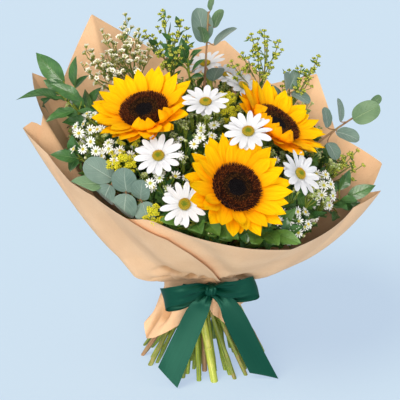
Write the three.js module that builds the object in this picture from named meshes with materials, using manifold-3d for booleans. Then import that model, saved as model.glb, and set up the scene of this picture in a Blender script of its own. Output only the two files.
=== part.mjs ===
// A hand-tied bunch of sunflowers in kraft paper with a satin bow, standing on its cut stems.
// Millimetres, +Z up, the surface it stands on at z = 0, +X to the right seen from its front (-Y).
import * as THREE from 'three';
import { mergeVertices } from 'three/addons/utils/BufferGeometryUtils.js';
import Module from 'manifold-3d';

const wasm = await Module();
wasm.setup();

const DEGREE = Math.PI / 180;
const GOLDEN_TURN = Math.PI * (3 - Math.sqrt(5));

// The whole bunch stands a little aside of the tie, so that it is centred on its own footprint.
const FOOTPRINT_SHIFT = [7.3, 9.9, 0];
const TIE_HEIGHT = 115;
const GAP = 0.35;
const SLIVER = 0.1;

// Stems run through the tie in three nested rings that all turn the same way, like a sheaf's.
// offset is how far a ring's stems pass from the axis, slope how much they lean outward per mm.
const RINGS = {
  core: { offset: 3.6, slope: 0.12 },
  middle: { offset: 12, slope: 0.36 },
  outer: { offset: 22, slope: 0.55 },
};
const LEFT_FEET_SPREAD = 0.2;

// Every stem: its ring, the azimuth it leans to at the tie, its thickness, where it ends and
// which way it points there. Stems that carry flowers end at their first flower instead.
const STEMS = {
  aster_spray_middle: { ring: 'core', lean: 207, radius: 1.9, top: [-22, -70, 296], aim: [-0.1, -0.4, 1] },

  solidago_spray_middle: { ring: 'middle', lean: 30, radius: 1.9, top: [18, -22, 322], aim: [0.1, -0.3, 1] },
  eucalyptus_stem_back: { ring: 'middle', lean: 95, radius: 2.3, top: [-4, 60, 424], aim: [0.05, 0, 1] },
  leafy_stem_back: { ring: 'middle', lean: 130, radius: 2.1, top: [-28, 42, 368], aim: [-0.1, 0, 1] },
  sunflower_left_stem: { ring: 'middle', lean: 169, radius: 5 },
  chrysanthemum_stem_middle: { ring: 'middle', lean: 230, radius: 2.4 },
  sunflower_front_stem: { ring: 'middle', lean: 281, radius: 5.4 },
  sunflower_right_stem: { ring: 'middle', lean: 343, radius: 5 },

  bud_spray_far_right: { ring: 'outer', lean: 0, radius: 1.9, top: [164, -6, 254], aim: [0.8, 0, 0.6] },
  eucalyptus_stem_right: { ring: 'outer', lean: 17, radius: 2.2, top: [186, 19, 318], aim: [0.85, 0.1, 0.5] },
  eucalyptus_stem_middle: { ring: 'outer', lean: 36, radius: 2.2, top: [90, 26, 336], aim: [0.2, 0, 1] },
  bud_spray_right: { ring: 'outer', lean: 58, radius: 2, top: [118, 38, 362], aim: [0.4, 0.1, 1] },
  bud_spray_back_right: { ring: 'outer', lean: 78, radius: 2, top: [66, 54, 386], aim: [0, 0, 1] },
  chrysanthemum_stem_back: { ring: 'outer', lean: 112, radius: 4.5 },
  bud_spray_back_left: { ring: 'outer', lean: 134, radius: 1.9, top: [-58, 58, 412], aim: [-0.25, 0.1, 1] },
  bud_spray_left: { ring: 'outer', lean: 148, radius: 1.9, top: [-108, 56, 398], aim: [-0.3, 0.1, 1] },
  leafy_stem_left: { ring: 'outer', lean: 162, radius: 2.1, top: [-176, 4, 338], aim: [-0.7, 0.1, 0.7] },
  leafy_stem_low_left: { ring: 'outer', lean: 176, radius: 2, top: [-148, -58, 282], aim: [-0.6, -0.1, 0.8] },
  aster_spray_left: { ring: 'outer', lean: 190, radius: 2, top: [-122, -52, 288], aim: [-0.4, -0.2, 1] },
  solidago_spray_left: { ring: 'outer', lean: 204, radius: 1.9, top: [-98, -78, 280], aim: [-0.2, -0.3, 1] },
  eucalyptus_stem_left: { ring: 'outer', lean: 218, radius: 2.1, top: [-116, -99, 264], aim: [-0.9, 0.1, 0.35] },
  chrysanthemum_stem_left: { ring: 'outer', lean: 233, radius: 2.5 },
  aster_spray_low: { ring: 'outer', lean: 249, radius: 1.9, top: [-50, -108, 252], aim: [-0.1, -0.6, 0.8] },
  leafy_stem_front: { ring: 'outer', lean: 264, radius: 2, top: [-14, -138, 232], aim: [0.1, -0.8, 0.6] },
  leafy_stem_front_right: { ring: 'outer', lean: 279, radius: 2, top: [58, -136, 222], aim: [0.3, -0.8, 0.5] },
  aster_spray_front_right: { ring: 'outer', lean: 294, radius: 1.9, top: [84, -108, 212], aim: [0.5, -0.7, 0.5] },
  chrysanthemum_stem_right: { ring: 'outer', lean: 311, radius: 2.8 },
  aster_spray_right: { ring: 'outer', lean: 328, radius: 1.9, top: [118, -56, 236], aim: [0.6, -0.3, 0.7] },
  leafy_stem_right: { ring: 'outer', lean: 344, radius: 2.1, top: [150, -38, 222], aim: [0.9, -0.2, 0.3] },
};

// Sunflowers: the middle of the disc's face, the way it looks, and petals that curl over the disc.
const SUNFLOWERS = {
  left: { face: [-76, -55, 337], looks: [-0.16, -0.48, 0.86], turn: 3, curled: [290, 340], seed: 11 },
  front: { face: [25, -140, 275], looks: [0.32, -0.68, 0.66], turn: 9, curled: [], seed: 23 },
  right: { face: [74, -50, 320], looks: [0.52, -0.28, 0.81], turn: 0, curled: [150, 195], seed: 37 },
};

// Daisies: the stem each grows on, where it leaves it, the middle of its disc and the way it looks.
const DAISIES = [
  { stem: 'middle', at: [-8, -71, 349], looks: [0, -0.43, 0.9] },
  { stem: 'left', at: [-58, -110, 300], looks: [-0.08, -0.67, 0.74] },
  { stem: 'middle', at: [36.3, -108.5, 326.2], looks: [0, -0.64, 0.77] },
  { stem: 'left', at: [-30, -140, 256], looks: [-0.03, -0.8, 0.6] },
  { stem: 'right', at: [93.5, -111, 280], looks: [0.6, -0.65, 0.62] },
  { stem: 'back', at: [-8, 88, 359], looks: [-0.1, 0.1, 0.99] },
  { stem: 'back', at: [20, 80, 346], looks: [0.3, 0, 0.9] },
  { stem: 'back', at: [39, 42, 341], looks: [0.5, -0.2, 0.8] },
];

// Leaves set by hand: from is where along its stem the stalk leaves, then the blade's foot and tip.
const ROUND_LEAVES = {
  back: [
    { from: 0.86, foot: [-10, 60, 378], tip: [-17, 60, 428], width: 27 },
    { from: 0.88, foot: [3, 60, 384], tip: [30, 62, 404], width: 24 },
    { from: 0.93, foot: [-9, 54, 388], tip: [-14, 48, 408], width: 17 },
    { from: 0.95, foot: [3, 66, 404], tip: [13, 70, 425], width: 17 },
    { from: 1.0, foot: [-2, 60, 425], tip: [2, 60, 440], width: 12 },
    { from: 0.78, foot: [2, 40, 345], tip: [8, 24, 364], width: 22 },
  ],
  right: [
    { from: 0.96, foot: [166, 13, 305], tip: [196, 12, 322], width: 26 },
    { from: 0.88, foot: [152, 14, 302], tip: [147, 16, 330], width: 13 },
    { from: 0.87, foot: [146, 6, 292], tip: [172, -2, 284], width: 20 },
    { from: 0.82, foot: [136, 2, 280], tip: [146, -8, 262], width: 20 },
    { from: 0.82, foot: [137, 16, 294], tip: [132, 20, 318], width: 16 },
    { from: 1.0, foot: [187, 20, 320], tip: [199, 24, 331], width: 11 },
  ],
  middle: [
    { from: 0.95, foot: [87, 22, 336], tip: [83, 12, 360], width: 24 },
    { from: 0.97, foot: [94, 24, 335], tip: [114, 14, 324], width: 22 },
    { from: 1.0, foot: [91, 28, 338], tip: [100, 40, 358], width: 16 },
    { from: 0.9, foot: [82, 30, 322], tip: [66, 36, 340], width: 20 },
  ],
  left: [
    { from: 0.96, foot: [-108, -96, 268], tip: [-138, -92, 286], width: 27 },
    { from: 1.0, foot: [-118, -100, 264], tip: [-154, -100, 262], width: 19 },
    { from: 0.96, foot: [-110, -104, 259], tip: [-120, -112, 238], width: 22 },
    { from: 0.88, foot: [-92, -111, 258], tip: [-94, -112, 286], width: 25 },
    { from: 0.88, foot: [-92, -115, 252], tip: [-96, -126, 228], width: 26 },
    { from: 0.8, foot: [-77, -116, 250], tip: [-74, -120, 273], width: 20 },
    { from: 0.8, foot: [-75, -120, 244], tip: [-66, -134, 228], width: 20 },
  ],
};
const POINTED_LEAVES = {
  leafy_stem_back: [
    { from: 0.93, foot: [-40, 44, 370], tip: [-61, 42, 390], width: 14 },
    { from: 0.96, foot: [-33, 46, 372], tip: [-20, 46, 391], width: 12 },
    { from: 0.98, foot: [-26, 40, 366], tip: [-11, 37, 383], width: 12 },
    { from: 0.95, foot: [-24, 34, 356], tip: [-8, 26, 374], width: 12 },
    { from: 1.0, foot: [-29, 43, 371], tip: [-36, 48, 396], width: 13 },
  ],
  leafy_stem_left: [
    { from: 0.97, foot: [-172, 16, 349], tip: [-204, 24, 382], width: 23 },
    { from: 0.9, foot: [-160, 16, 344], tip: [-157, 20, 379], width: 15 },
    { from: 0.88, foot: [-152, 4, 332], tip: [-185, 2, 350], width: 16 },
    { from: 1.0, foot: [-179, 3, 340], tip: [-224, -10, 334], width: 16 },
    { from: 0.98, foot: [-176, -6, 334], tip: [-200, -22, 346], width: 16 },
    { from: 0.9, foot: [-158, -10, 322], tip: [-189, -24, 312], width: 17 },
    { from: 0.84, foot: [-140, 8, 312], tip: [-150, 30, 338], width: 16 },
  ],
  leafy_stem_low_left: [
    { from: 1.0, foot: [-149, -59, 284], tip: [-154, -62, 308], width: 19 },
    { from: 0.98, foot: [-149, -64, 281], tip: [-178, -72, 288], width: 15 },
    { from: 0.9, foot: [-132, -50, 268], tip: [-136, -30, 294], width: 16 },
    { from: 0.88, foot: [-122, -62, 258], tip: [-132, -84, 270], width: 16 },
  ],
  leafy_stem_front: [
    { from: 0.95, foot: [-30, -134, 236], tip: [-56, -146, 240], width: 17 },
    { from: 0.98, foot: [-18, -143, 234], tip: [-12, -164, 232], width: 20 },
    { from: 1.0, foot: [-6, -143, 236], tip: [6, -166, 230], width: 18 },
    { from: 0.96, foot: [6, -140, 230], tip: [26, -164, 226], width: 19 },
    { from: 0.9, foot: [-32, -120, 228], tip: [-50, -132, 250], width: 15 },
  ],
  leafy_stem_front_right: [
    { from: 0.96, foot: [44, -140, 224], tip: [40, -170, 220], width: 19 },
    { from: 0.98, foot: [56, -142, 224], tip: [66, -172, 222], width: 18 },
    { from: 1.0, foot: [64, -140, 224], tip: [92, -156, 216], width: 15 },
    { from: 0.9, foot: [66, -118, 222], tip: [88, -124, 246], width: 15 },
  ],
  leafy_stem_right: [
    { from: 1.0, foot: [155, -38, 226], tip: [188, -36, 240], width: 16 },
    { from: 0.97, foot: [148, -28, 232], tip: [160, -20, 254], width: 15 },
    { from: 0.97, foot: [146, -48, 226], tip: [166, -62, 228], width: 15 },
    { from: 0.9, foot: [134, -54, 222], tip: [150, -80, 226], width: 17 },
    { from: 0.86, foot: [116, -66, 232], tip: [92, -94, 250], width: 19 },
  ],
};

// Clusters of small flowers: the middle of each, the way it looks, its half width and half height.
const ASTER_CLUSTERS = {
  aster_spray_left: [{ at: [-132, -60, 312], looks: [-0.35, -0.6, 0.7], size: [32, 32], count: 13, from: 0.7 }],
  aster_spray_middle: [
    { at: [-18, -84, 320], looks: [0, -0.6, 0.8], size: [26, 22], count: 10, from: 0.75 },
  ],
  aster_spray_low: [{ at: [-48, -122, 274], looks: [0, -0.8, 0.6], size: [26, 12], count: 8, from: 0.72 }],
  aster_spray_right: [
    { at: [128, -74, 252], looks: [0.5, -0.7, 0.5], size: [15, 20], count: 10, from: 0.72 },
    { at: [84, -92, 292], looks: [0.4, -0.7, 0.6], size: [10, 16], count: 5, from: 0.5 },
  ],
  aster_spray_front_right: [
    { at: [88, -124, 228], looks: [0.3, -0.9, 0.4], size: [20, 20], count: 10, from: 0.72 },
  ],
};
const SOLIDAGO_CLUSTERS = {
  solidago_spray_left: [
    { at: [-98, -92, 300], looks: [-0.2, -0.6, 0.8], size: [18, 24], count: 12, from: 0.75 },
    { at: [-64, -138, 244], looks: [-0.2, -0.8, 0.5], size: [10, 12], count: 5, from: 0.6 },
  ],
  solidago_spray_middle: [
    { at: [25, -34, 340], looks: [0.1, -0.5, 0.9], size: [22, 20], count: 15, from: 0.75 },
  ],
};
// Budded plumes: the tips that side branches run to, with buds along them.
const BUD_PLUMES = {
  bud_spray_left: [[-147, 40, 380], [-128, 50, 396], [-102, 62, 414], [-86, 50, 398], [-122, 34, 374]],
  bud_spray_back_left: [[-80, 58, 404], [-58, 62, 424], [-36, 62, 414], [-66, 40, 392], [-44, 46, 396]],
  bud_spray_back_right: [[47, 58, 398], [62, 54, 408], [78, 50, 390], [52, 36, 376], [70, 34, 372]],
  bud_spray_right: [[124, 42, 375], [106, 38, 368], [92, 42, 362], [132, 30, 352], [112, 26, 350]],
  bud_spray_far_right: [[172, 0, 272], [160, -10, 270], [178, -12, 258], [158, 6, 262]],
};

// The paper: one bowl that three sheets follow, each a little outside the one before.
// Azimuths are counted from +X towards the back; radius and height are the rim's.
const BOWL_RIM = [
  [3, 194, 212], [9.5, 212, 244], [28, 180, 266], [40.5, 177, 338], [62, 170, 317], [83.5, 166, 372],
  [110, 171, 350], [142, 189, 413], [158, 199, 334], [168, 219, 354], [184.5, 194, 318], [188, 214, 308],
  [198, 190, 287], [209, 175, 263], [221, 166, 255], [236.5, 162, 240], [244, 161.5, 236], [258, 162, 232],
  [283, 169, 217], [299, 166, 208], [319, 168, 217], [336, 171, 226], [350, 197, 234], [357, 186, 226],
];
const NECK = { radius: 32, halfHeight: 10, leftBulge: 4, leftAzimuth: 197 };
const SHEET_THICKNESS = 0.8;
const SHEETS = {
  kraft_sheet_back: {
    layer: 0, azimuths: [-10, 198],
    reach: [[-10, 0.96], [3, 0.97], [9.5, 1], [184.5, 1], [188, 0.93], [198, 0.9]],
    hem: [[-10, 84], [60, 78], [150, 74], [198, 70]],
  },
  kraft_sheet_front: {
    layer: 1, azimuths: [209, 363],
    reach: [[209, 0.9], [228, 0.96], [244, 1], [350, 1], [363, 0.97]],
    hem: [[209, 76], [240, 94], [262, 98], [288, 74], [300, 64], [325, 80], [363, 94]],
  },
  kraft_sheet_flap: {
    layer: 2, azimuths: [176.25, 283],
    reach: [[176.25, 0.99], [188, 1], [236.5, 1], [251, 0.9], [270.5, 0.45], [283, 0.1]],
    hem: [[176.25, 66], [190, 46], [198, 36], [209, 44], [224, 60], [244, 80], [262, 92], [283, 98]],
  },
};
// How far the skirts flare out for each millimetre they fall below the neck, by azimuth.
const FLARE = [
  [0, 0.6], [60, 0.5], [150, 0.62], [176, 0.93], [190, 0.87], [199, 0.8], [210, 0.72], [224, 0.6], [245, 0.58],
  [262, 0.56], [288, 0.47], [325, 0.5], [360, 0.6],
];
// Which layer of paper the ribbon lies on, by azimuth.
const OUTERMOST = [[0, 1], [20, 0], [160, 0], [176, 2], [288, 2], [305, 1], [360, 1]];

// The bow: edges of each length of ribbon, from the knot outwards, as pairs of rails.
const RIBBON_THICKNESS = 1.0;
const BOW = {
  loop_left: {
    upper: [[-3, -48.5, 121], [-18, -59.5, 124], [-40, -63.5, 122], [-57, -58.5, 119], [-60, -51.5, 118], [-54, -47.5, 119],
      [-30, -46.5, 121], [-3, -44.5, 121]],
    lower: [[-3, -47.5, 110], [-18, -58.5, 102], [-38, -63.5, 95], [-51, -59.5, 90], [-54, -53.5, 89], [-48, -49.5, 90],
      [-30, -46.5, 97], [-3, -43.5, 111]],
  },
  loop_right: {
    upper: [[2, -48.5, 121], [14, -58.5, 126], [30, -63.5, 130], [43, -59.5, 134], [47, -53.5, 135], [42, -48.5, 134],
      [24, -46.5, 129], [2, -44.5, 121]],
    lower: [[2, -47.5, 110], [16, -58.5, 105], [34, -63.5, 105], [50, -59.5, 107], [55, -54.5, 108], [50, -50.5, 108],
      [28, -46.5, 107], [2, -43.5, 111]],
  },
  tail_left: {
    upper: [[-7, -47.5, 113], [-18, -55.5, 105], [-29, -59.5, 94], [-48, -68.5, 58], [-64, -76.5, 25]],
    lower: [[2, -48.5, 108], [-1, -57.5, 99], [-6, -61.5, 84], [-23, -72.5, 43], [-41, -85.5, 2]],
  },
  tail_right: {
    upper: [[4, -48.5, 115], [20, -56.5, 111], [38, -59.5, 90], [60, -62.5, 44], [81, -64.5, 2]],
    lower: [[-5, -47.5, 109], [8, -58.5, 98], [15, -60.5, 76], [31, -62.5, 42], [46, -64.5, 10]],
  },
};
const KNOT = { at: [-1, -47.5, 115.5], size: [8.5, 8.6, 8.5] };
const BAND = { height: 112.5, halfHeight: 5, clearance: 2, thickness: 1.6 };
const TWINE = { inner: 28, outer: 29.9, halfHeight: 4.5 };

const FINISHES = {
  petal_gold: ['#f5b301', 0.55],
  seed_brown: ['#3a2114', 0.85],
  stem_green: ['#8ba544', 0.5],
  petal_white: ['#f4f3ee', 0.6],
  daisy_ochre: ['#b79a1e', 0.8],
  aster_white: ['#e9eadb', 0.7],
  solidago_yellow: ['#d8c531', 0.8],
  bud_green: ['#a9b67e', 0.75],
  eucalyptus_blue: ['#7d9a8c', 0.6],
  leaf_green: ['#2f6b2c', 0.35],
  kraft: ['#c99f6e', 0.85],
  satin: ['#0f4f3c', 0.4],
  twine: ['#b28d5a', 0.9],
};

// ---- Solids

const point = (values) => new THREE.Vector3(...values);

// A repeatable draw of numbers between 0 and 1.
function seeded(seed) {
  let state = seed * 2654435761 % 4294967296;
  return () => {
    state = (state * 1664525 + 1013904223) % 4294967296;
    return state / 4294967296;
  };
}

function skin(positions, faces) {
  const geometry = new THREE.BufferGeometry();
  geometry.setAttribute('position', new THREE.Float32BufferAttribute(positions, 3));
  geometry.setIndex(faces);
  return geometry;
}

// A closed skin through rings of points; a ring of one point is a tip, and a ring may have a whole
// number of times the points of the one before it.
function loft(rings) {
  const positions = [];
  const starts = [];
  for (const ring of rings) {
    starts.push(positions.length / 3);
    ring.forEach((p) => positions.push(p.x, p.y, p.z));
  }
  const faces = [];
  for (let i = 0; i + 1 < rings.length; i += 1) {
    const [near, far] = [rings[i].length, rings[i + 1].length];
    const low = (k) => starts[i] + k % near;
    const high = (k) => starts[i + 1] + k % far;
    const ratio = Math.max(1, far / near);
    for (let k = 0; k < near; k += 1) {
      for (let j = ratio * k; far > 1 && j < ratio * (k + 1); j += 1) faces.push(low(k), high(j + 1), high(j));
      if (near > 1) faces.push(low(k), low(k + 1), high(ratio * (k + 1)));
    }
  }
  const last = rings.length - 1;
  for (let k = 1; k + 1 < rings[0].length; k += 1) faces.push(starts[0], starts[0] + k + 1, starts[0] + k);
  for (let k = 1; k + 1 < rings[last].length; k += 1) {
    faces.push(starts[last], starts[last] + k, starts[last] + k + 1);
  }
  return skin(positions, faces);
}

function signedVolume(positions, faces) {
  const corners = [0, 1, 2].map(() => new THREE.Vector3());
  let volume = 0;
  for (let i = 0; i < faces.length; i += 3) {
    corners.forEach((corner, k) => corner.fromArray(positions, 3 * faces[i + k]));
    volume += corners[0].dot(corners[1].clone().cross(corners[2])) / 6;
  }
  return volume;
}

// A geometry as a solid: shared corners merged, empty triangles dropped, faces pointing out.
function solid(geometry, matrix) {
  const shape = geometry.clone();
  if (matrix) shape.applyMatrix4(matrix);
  shape.deleteAttribute('normal');
  shape.deleteAttribute('uv');
  const merged = mergeVertices(shape, 1e-4);
  const positions = Float32Array.from(merged.attributes.position.array);
  const index = merged.index.array;
  const faces = [];
  for (let i = 0; i < index.length; i += 3) {
    const [a, b, c] = [index[i], index[i + 1], index[i + 2]];
    if (a !== b && b !== c && c !== a) faces.push(a, b, c);
  }
  if (signedVolume(positions, faces) < 0) faces.reverse();
  const mesh = new wasm.Mesh({ numProp: 3, vertProperties: positions, triVerts: Uint32Array.from(faces) });
  return new wasm.Manifold(mesh);
}

const join = (solids) => wasm.Manifold.union(solids);

function meets(one, other) {
  const a = one.boundingBox();
  const b = other.boundingBox();
  if ([0, 1, 2].some((axis) => a.min[axis] > b.max[axis] || b.min[axis] > a.max[axis])) return false;
  return !one.intersect(other).isEmpty();
}

// A turned profile of [radius, height] pairs about the local Z axis.
function turned(profile, sides) {
  const outline = profile.map(([radius, height]) => new THREE.Vector2(radius, height));
  return new THREE.LatheGeometry(outline, sides).rotateX(Math.PI / 2);
}

// A ring of points square to a direction, the first towards side.
function ringAbout(centre, along, side, radius, count) {
  const first = side.clone().addScaledVector(along, -side.dot(along)).normalize();
  const second = along.clone().cross(first);
  return Array.from({ length: count }, (_, k) => {
    const angle = 2 * Math.PI * k / count;
    return centre.clone().addScaledVector(first, radius * Math.cos(angle))
      .addScaledVector(second, radius * Math.sin(angle));
  });
}

// A tube with its rings square to the path, except a first ring that is level where it is cut flat.
function tube(path, radii, sides, across, levelFoot = false) {
  return loft(path.map((centre, i) => {
    const before = path[Math.max(i - 1, 0)];
    const after = path[Math.min(i + 1, path.length - 1)];
    const along = after.clone().sub(before).normalize();
    if (i === 0 && levelFoot) along.set(0, 0, 1);
    return ringAbout(centre, along, across, radii[i], sides);
  }));
}

// A petal's or leaf's rings: flat above, with a keel below, and a point where its width is nothing.
function blade(path, halfWidths, side, thickness, grow) {
  return path.map((centre, i) => {
    const before = path[Math.max(i - 1, 0)];
    const after = path[Math.min(i + 1, path.length - 1)];
    const along = after.clone().sub(before).normalize();
    if (halfWidths[i] === 0) return [centre.clone().addScaledVector(along, grow)];
    const face = along.clone().cross(side).normalize();
    const edge = side.clone().multiplyScalar(halfWidths[i] + grow);
    const upper = centre.clone().addScaledVector(face, grow);
    return [upper.clone().add(edge), upper.clone().sub(edge), centre.clone().addScaledVector(face, -thickness - grow)];
  });
}

// The frame of a flower: local Z is the way it looks, local Y the uphill way across its face.
function flowerFrame(at, looks) {
  const z = looks.clone().normalize();
  const y = new THREE.Vector3(0, 0, 1).addScaledVector(z, -z.z).normalize();
  const x = y.clone().cross(z);
  return new THREE.Matrix4().makeBasis(x, y, z).setPosition(at);
}

// ---- Stems

const STEM_SIDES = 5;
const STEM_STEPS = 5;
const THICK_STEM = 4;

// Straight from the cut foot to the tie, then bending outward to the top.
function stemRoute(name) {
  const stem = STEMS[name];
  const ring = RINGS[stem.ring];
  const azimuth = stem.lean * DEGREE;
  const lean = new THREE.Vector3(Math.cos(azimuth), Math.sin(azimuth), 0);
  const across = new THREE.Vector3(-lean.y, lean.x, 0);
  const spread = stem.ring === 'outer' ? LEFT_FEET_SPREAD * Math.max(0, lean.x) ** 2 : 0;
  const slope = ring.slope + spread;
  const tie = across.clone().multiplyScalar(ring.offset).setZ(TIE_HEIGHT);
  const foot = tie.clone().addScaledVector(lean, -slope * TIE_HEIGHT).setZ(0);
  const rise = lean.clone().multiplyScalar(slope).setZ(1).normalize();
  const top = point(stem.top);
  const aim = point(stem.aim).normalize();
  const reach = tie.distanceTo(top);
  const bend = new THREE.CubicBezierCurve3(
    tie, tie.clone().addScaledVector(rise, 0.4 * reach), top.clone().addScaledVector(aim, -0.33 * reach), top,
  );
  return { foot, bend, across };
}

function stemSolid(name, grow) {
  const { radius } = STEMS[name];
  const { foot, bend, across } = stemRoute(name);
  const path = [foot, ...bend.getPoints(STEM_STEPS)];
  const isThick = radius > THICK_STEM;
  const [footShare, topShare] = isThick ? [1, 0.75] : [1.25, 0.6];
  const radii = path.map((_, i) => (
    radius * (i === 0 ? footShare : 1 - (1 - topShare) * (i - 1) / STEM_STEPS) + grow
  ));
  return solid(tube(path, radii, isThick ? 7 : STEM_SIDES, across, true));
}

// A side shoot that leaves its stem along the stem and arrives along its own end's direction.
function shoot(name, from, to, arrive, radius, sides, steps, grow) {
  const { bend, across } = stemRoute(name);
  const start = bend.getPoint(from);
  const leave = bend.getTangent(from);
  const reach = start.distanceTo(to);
  const curve = new THREE.CubicBezierCurve3(
    start, start.clone().addScaledVector(leave, 0.3 * reach), to.clone().addScaledVector(arrive, -0.3 * reach), to,
  );
  const path = curve.getPoints(steps);
  return solid(tube(path, path.map(() => radius + grow), sides, across));
}

// ---- Rays: petals round a thin ring, made as one skin

// rays lists each ray's angle, route of [radius, height] pairs from its root and half widths.
function rayRing(rays, thickness, grow) {
  const positions = [];
  const add = (x, y, z) => positions.push(x, y, z) / 3 - 1;
  const rootHeight = rays[0].route[0][1];
  const upper = add(0, 0, rootHeight + grow);
  const lower = add(0, 0, rootHeight - thickness - grow);
  const placed = rays.map(({ angle, route, halfWidths }) => {
    const out = new THREE.Vector3(Math.cos(angle), Math.sin(angle), 0);
    const side = new THREE.Vector3(-Math.sin(angle), Math.cos(angle), 0);
    const rings = blade(
      route.map(([radius, height]) => out.clone().multiplyScalar(radius).setZ(height)), halfWidths, side, thickness, grow,
    );
    return rings.map((ring) => ring.map((p) => add(p.x, p.y, p.z)));
  });
  const faces = [];
  placed.forEach((rings, k) => {
    for (let i = 0; i + 2 < rings.length; i += 1) {
      const [left, right, keel] = rings[i];
      const [farLeft, farRight, farKeel] = rings[i + 1];
      faces.push(left, right, farRight, left, farRight, farLeft);
      faces.push(right, keel, farKeel, right, farKeel, farRight, keel, left, farLeft, keel, farLeft, farKeel);
    }
    const [left, right, keel] = rings[rings.length - 2];
    const [tip] = rings[rings.length - 1];
    faces.push(left, right, tip, right, keel, tip, keel, left, tip);
    const [rootLeft, rootRight, rootKeel] = rings[0];
    const [, nextRight, nextKeel] = placed[(k + 1) % placed.length][0];
    faces.push(upper, rootRight, rootLeft, upper, rootLeft, nextRight);
    faces.push(rootLeft, rootKeel, nextKeel, rootLeft, nextKeel, nextRight, lower, nextKeel, rootKeel);
  });
  return skin(positions, faces);
}

// ---- Sunflowers

const RAY_COUNT = 26;
const RAY_THICKNESS = 1.2;
const RAY_HALF_WIDTHS = [1.8, 6.4, 7.2, 0];
const RAY_FRONT = [[17.5, -1.2], [28.5, 0.6], [42, 8], [56, 17]];
const RAY_BACK = [[17.5, -1.2], [28.5, -2.2], [43, 5], [58, 12]];
const RAY_CURLED = [[17.5, -1.2], [30, 1], [36, 10], [27, 17]];
const CURL_REACH = 360 / RAY_COUNT;
const DISC_HEIGHT = 6;
const CALYX_DEPTH = 15;

function sunflowerFrame(flower) {
  const looks = point(flower.looks).normalize();
  const at = point(flower.face).addScaledVector(looks, -DISC_HEIGHT);
  return flowerFrame(at, looks);
}

// Rays in two layers, front and back by turns, rooted in a thin ring under the disc.
function sunflowerRays(flower, grow) {
  const random = seeded(flower.seed);
  const rays = Array.from({ length: RAY_COUNT }, (_, k) => {
    const degrees = k * 360 / RAY_COUNT + flower.turn + 1.2 * (random() - 0.5);
    const isFront = k % 2 === 0;
    const isCurled = isFront && flower.curled.some((azimuth) => Math.abs(azimuth - degrees) < CURL_REACH);
    const stretch = 0.94 + 0.1 * random();
    const lift = 1.8 * (random() - 0.5);
    const flat = isFront ? RAY_FRONT : RAY_BACK;
    const route = (isCurled ? RAY_CURLED : flat).map(([radius, height], i) => (
      i > 1 ? [radius * stretch, height + lift] : [radius, height]
    ));
    return { angle: degrees * DEGREE, route, halfWidths: RAY_HALF_WIDTHS };
  });
  return solid(rayRing(rays, RAY_THICKNESS, grow), sunflowerFrame(flower));
}

// The seed disc: a low crown with a dip in the middle, its florets as relief and a jagged rim.
const DISC_SIDES = 18;
const DISC_PROFILE = [[23.5, 0.5], [26.5, 1.9], [23.5, 7.2], [18.5, 7.5], [13.5, 6.4], [8.5, 5.4], [4, 5]];

function sunflowerDisc(flower, grow) {
  const rings = DISC_PROFILE.map(([radius, height], ring) => Array.from({ length: DISC_SIDES }, (_, k) => {
    const angle = 2 * Math.PI * (k + ring / 2) / DISC_SIDES;
    const tooth = (k + ring) % 2 ? 0.8 : -0.8;
    const out = radius + grow + (ring === 1 ? tooth : 0);
    const up = height + (ring > 1 ? 0.7 * tooth + grow : 0) - (ring === 0 ? grow : 0);
    return new THREE.Vector3(out * Math.cos(angle), out * Math.sin(angle), up);
  }));
  rings.push([new THREE.Vector3(0, 0, 4.6 + grow)]);
  return solid(loft(rings), sunflowerFrame(flower));
}

// The green calyx behind the head, with its pointed bracts.
const BRACT_COUNT = 8;
const BRACT_PATH = [[15, -5.2], [27, -6.2], [38, -2.4]];
const BRACT_HALF_WIDTHS = [4.2, 5.2, 0];

function sunflowerCalyx(flower, grow) {
  const frame = sunflowerFrame(flower);
  const cup = [[0, -3.4], [19, -3.4], [19, -7], [4.6, -CALYX_DEPTH - 3], [0, -CALYX_DEPTH - 3]];
  const parts = [solid(turned(cup, BRACT_COUNT), frame)];
  for (let k = 0; k < BRACT_COUNT; k += 1) {
    const angle = 2 * Math.PI * (k + 0.5) / BRACT_COUNT;
    const side = new THREE.Vector3(-Math.sin(angle), Math.cos(angle), 0);
    const path = BRACT_PATH.map(([radius, height]) => (
      new THREE.Vector3(radius * Math.cos(angle), radius * Math.sin(angle), height)
    ));
    parts.push(solid(loft(blade(path, BRACT_HALF_WIDTHS, side, RAY_THICKNESS, grow)), frame));
  }
  return join(parts);
}

// ---- Daisies

const DAISY_RAYS = 13;
const DAISY_PATH = [[7, -0.6], [17, 1.2], [26, 1.8]];
const DAISY_HALF_WIDTHS = [1.4, 3.3, 0];
const DAISY_THICKNESS = 1.0;
const DAISY_DISC_HEIGHT = 2.8;
const DAISY_CALYX_DEPTH = 8;

function daisyFrame(daisy) {
  const looks = point(daisy.looks).normalize();
  return flowerFrame(point(daisy.at).addScaledVector(looks, -DAISY_DISC_HEIGHT), looks);
}

function daisyRays(daisy, index, grow) {
  const random = seeded(100 + index);
  const rays = Array.from({ length: DAISY_RAYS }, (_, k) => {
    const stretch = 0.93 + 0.1 * random();
    const route = DAISY_PATH.map(([radius, height], i) => (
      i > 0 ? [radius * stretch, height + 0.8 * (k % 2)] : [radius, height]
    ));
    return { angle: 2 * Math.PI * k / DAISY_RAYS + 0.04 * random(), route, halfWidths: DAISY_HALF_WIDTHS };
  });
  return solid(rayRing(rays, DAISY_THICKNESS, grow), daisyFrame(daisy));
}

function daisyDisc(daisy, grow) {
  const profile = [[0, -grow], [6.6 + grow, -grow], [5.4 + grow, 2.7 + grow], [0, 2.5 + grow]];
  return solid(turned(profile, 9), daisyFrame(daisy));
}

function daisyCalyx(daisy, grow) {
  const cup = [[0, -2.1], [5.4 + grow, -2.1], [1.6 + grow, -DAISY_CALYX_DEPTH], [0, -DAISY_CALYX_DEPTH]];
  return solid(turned(cup, 6), daisyFrame(daisy));
}

// ---- Leaves, small flowers and buds

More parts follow.
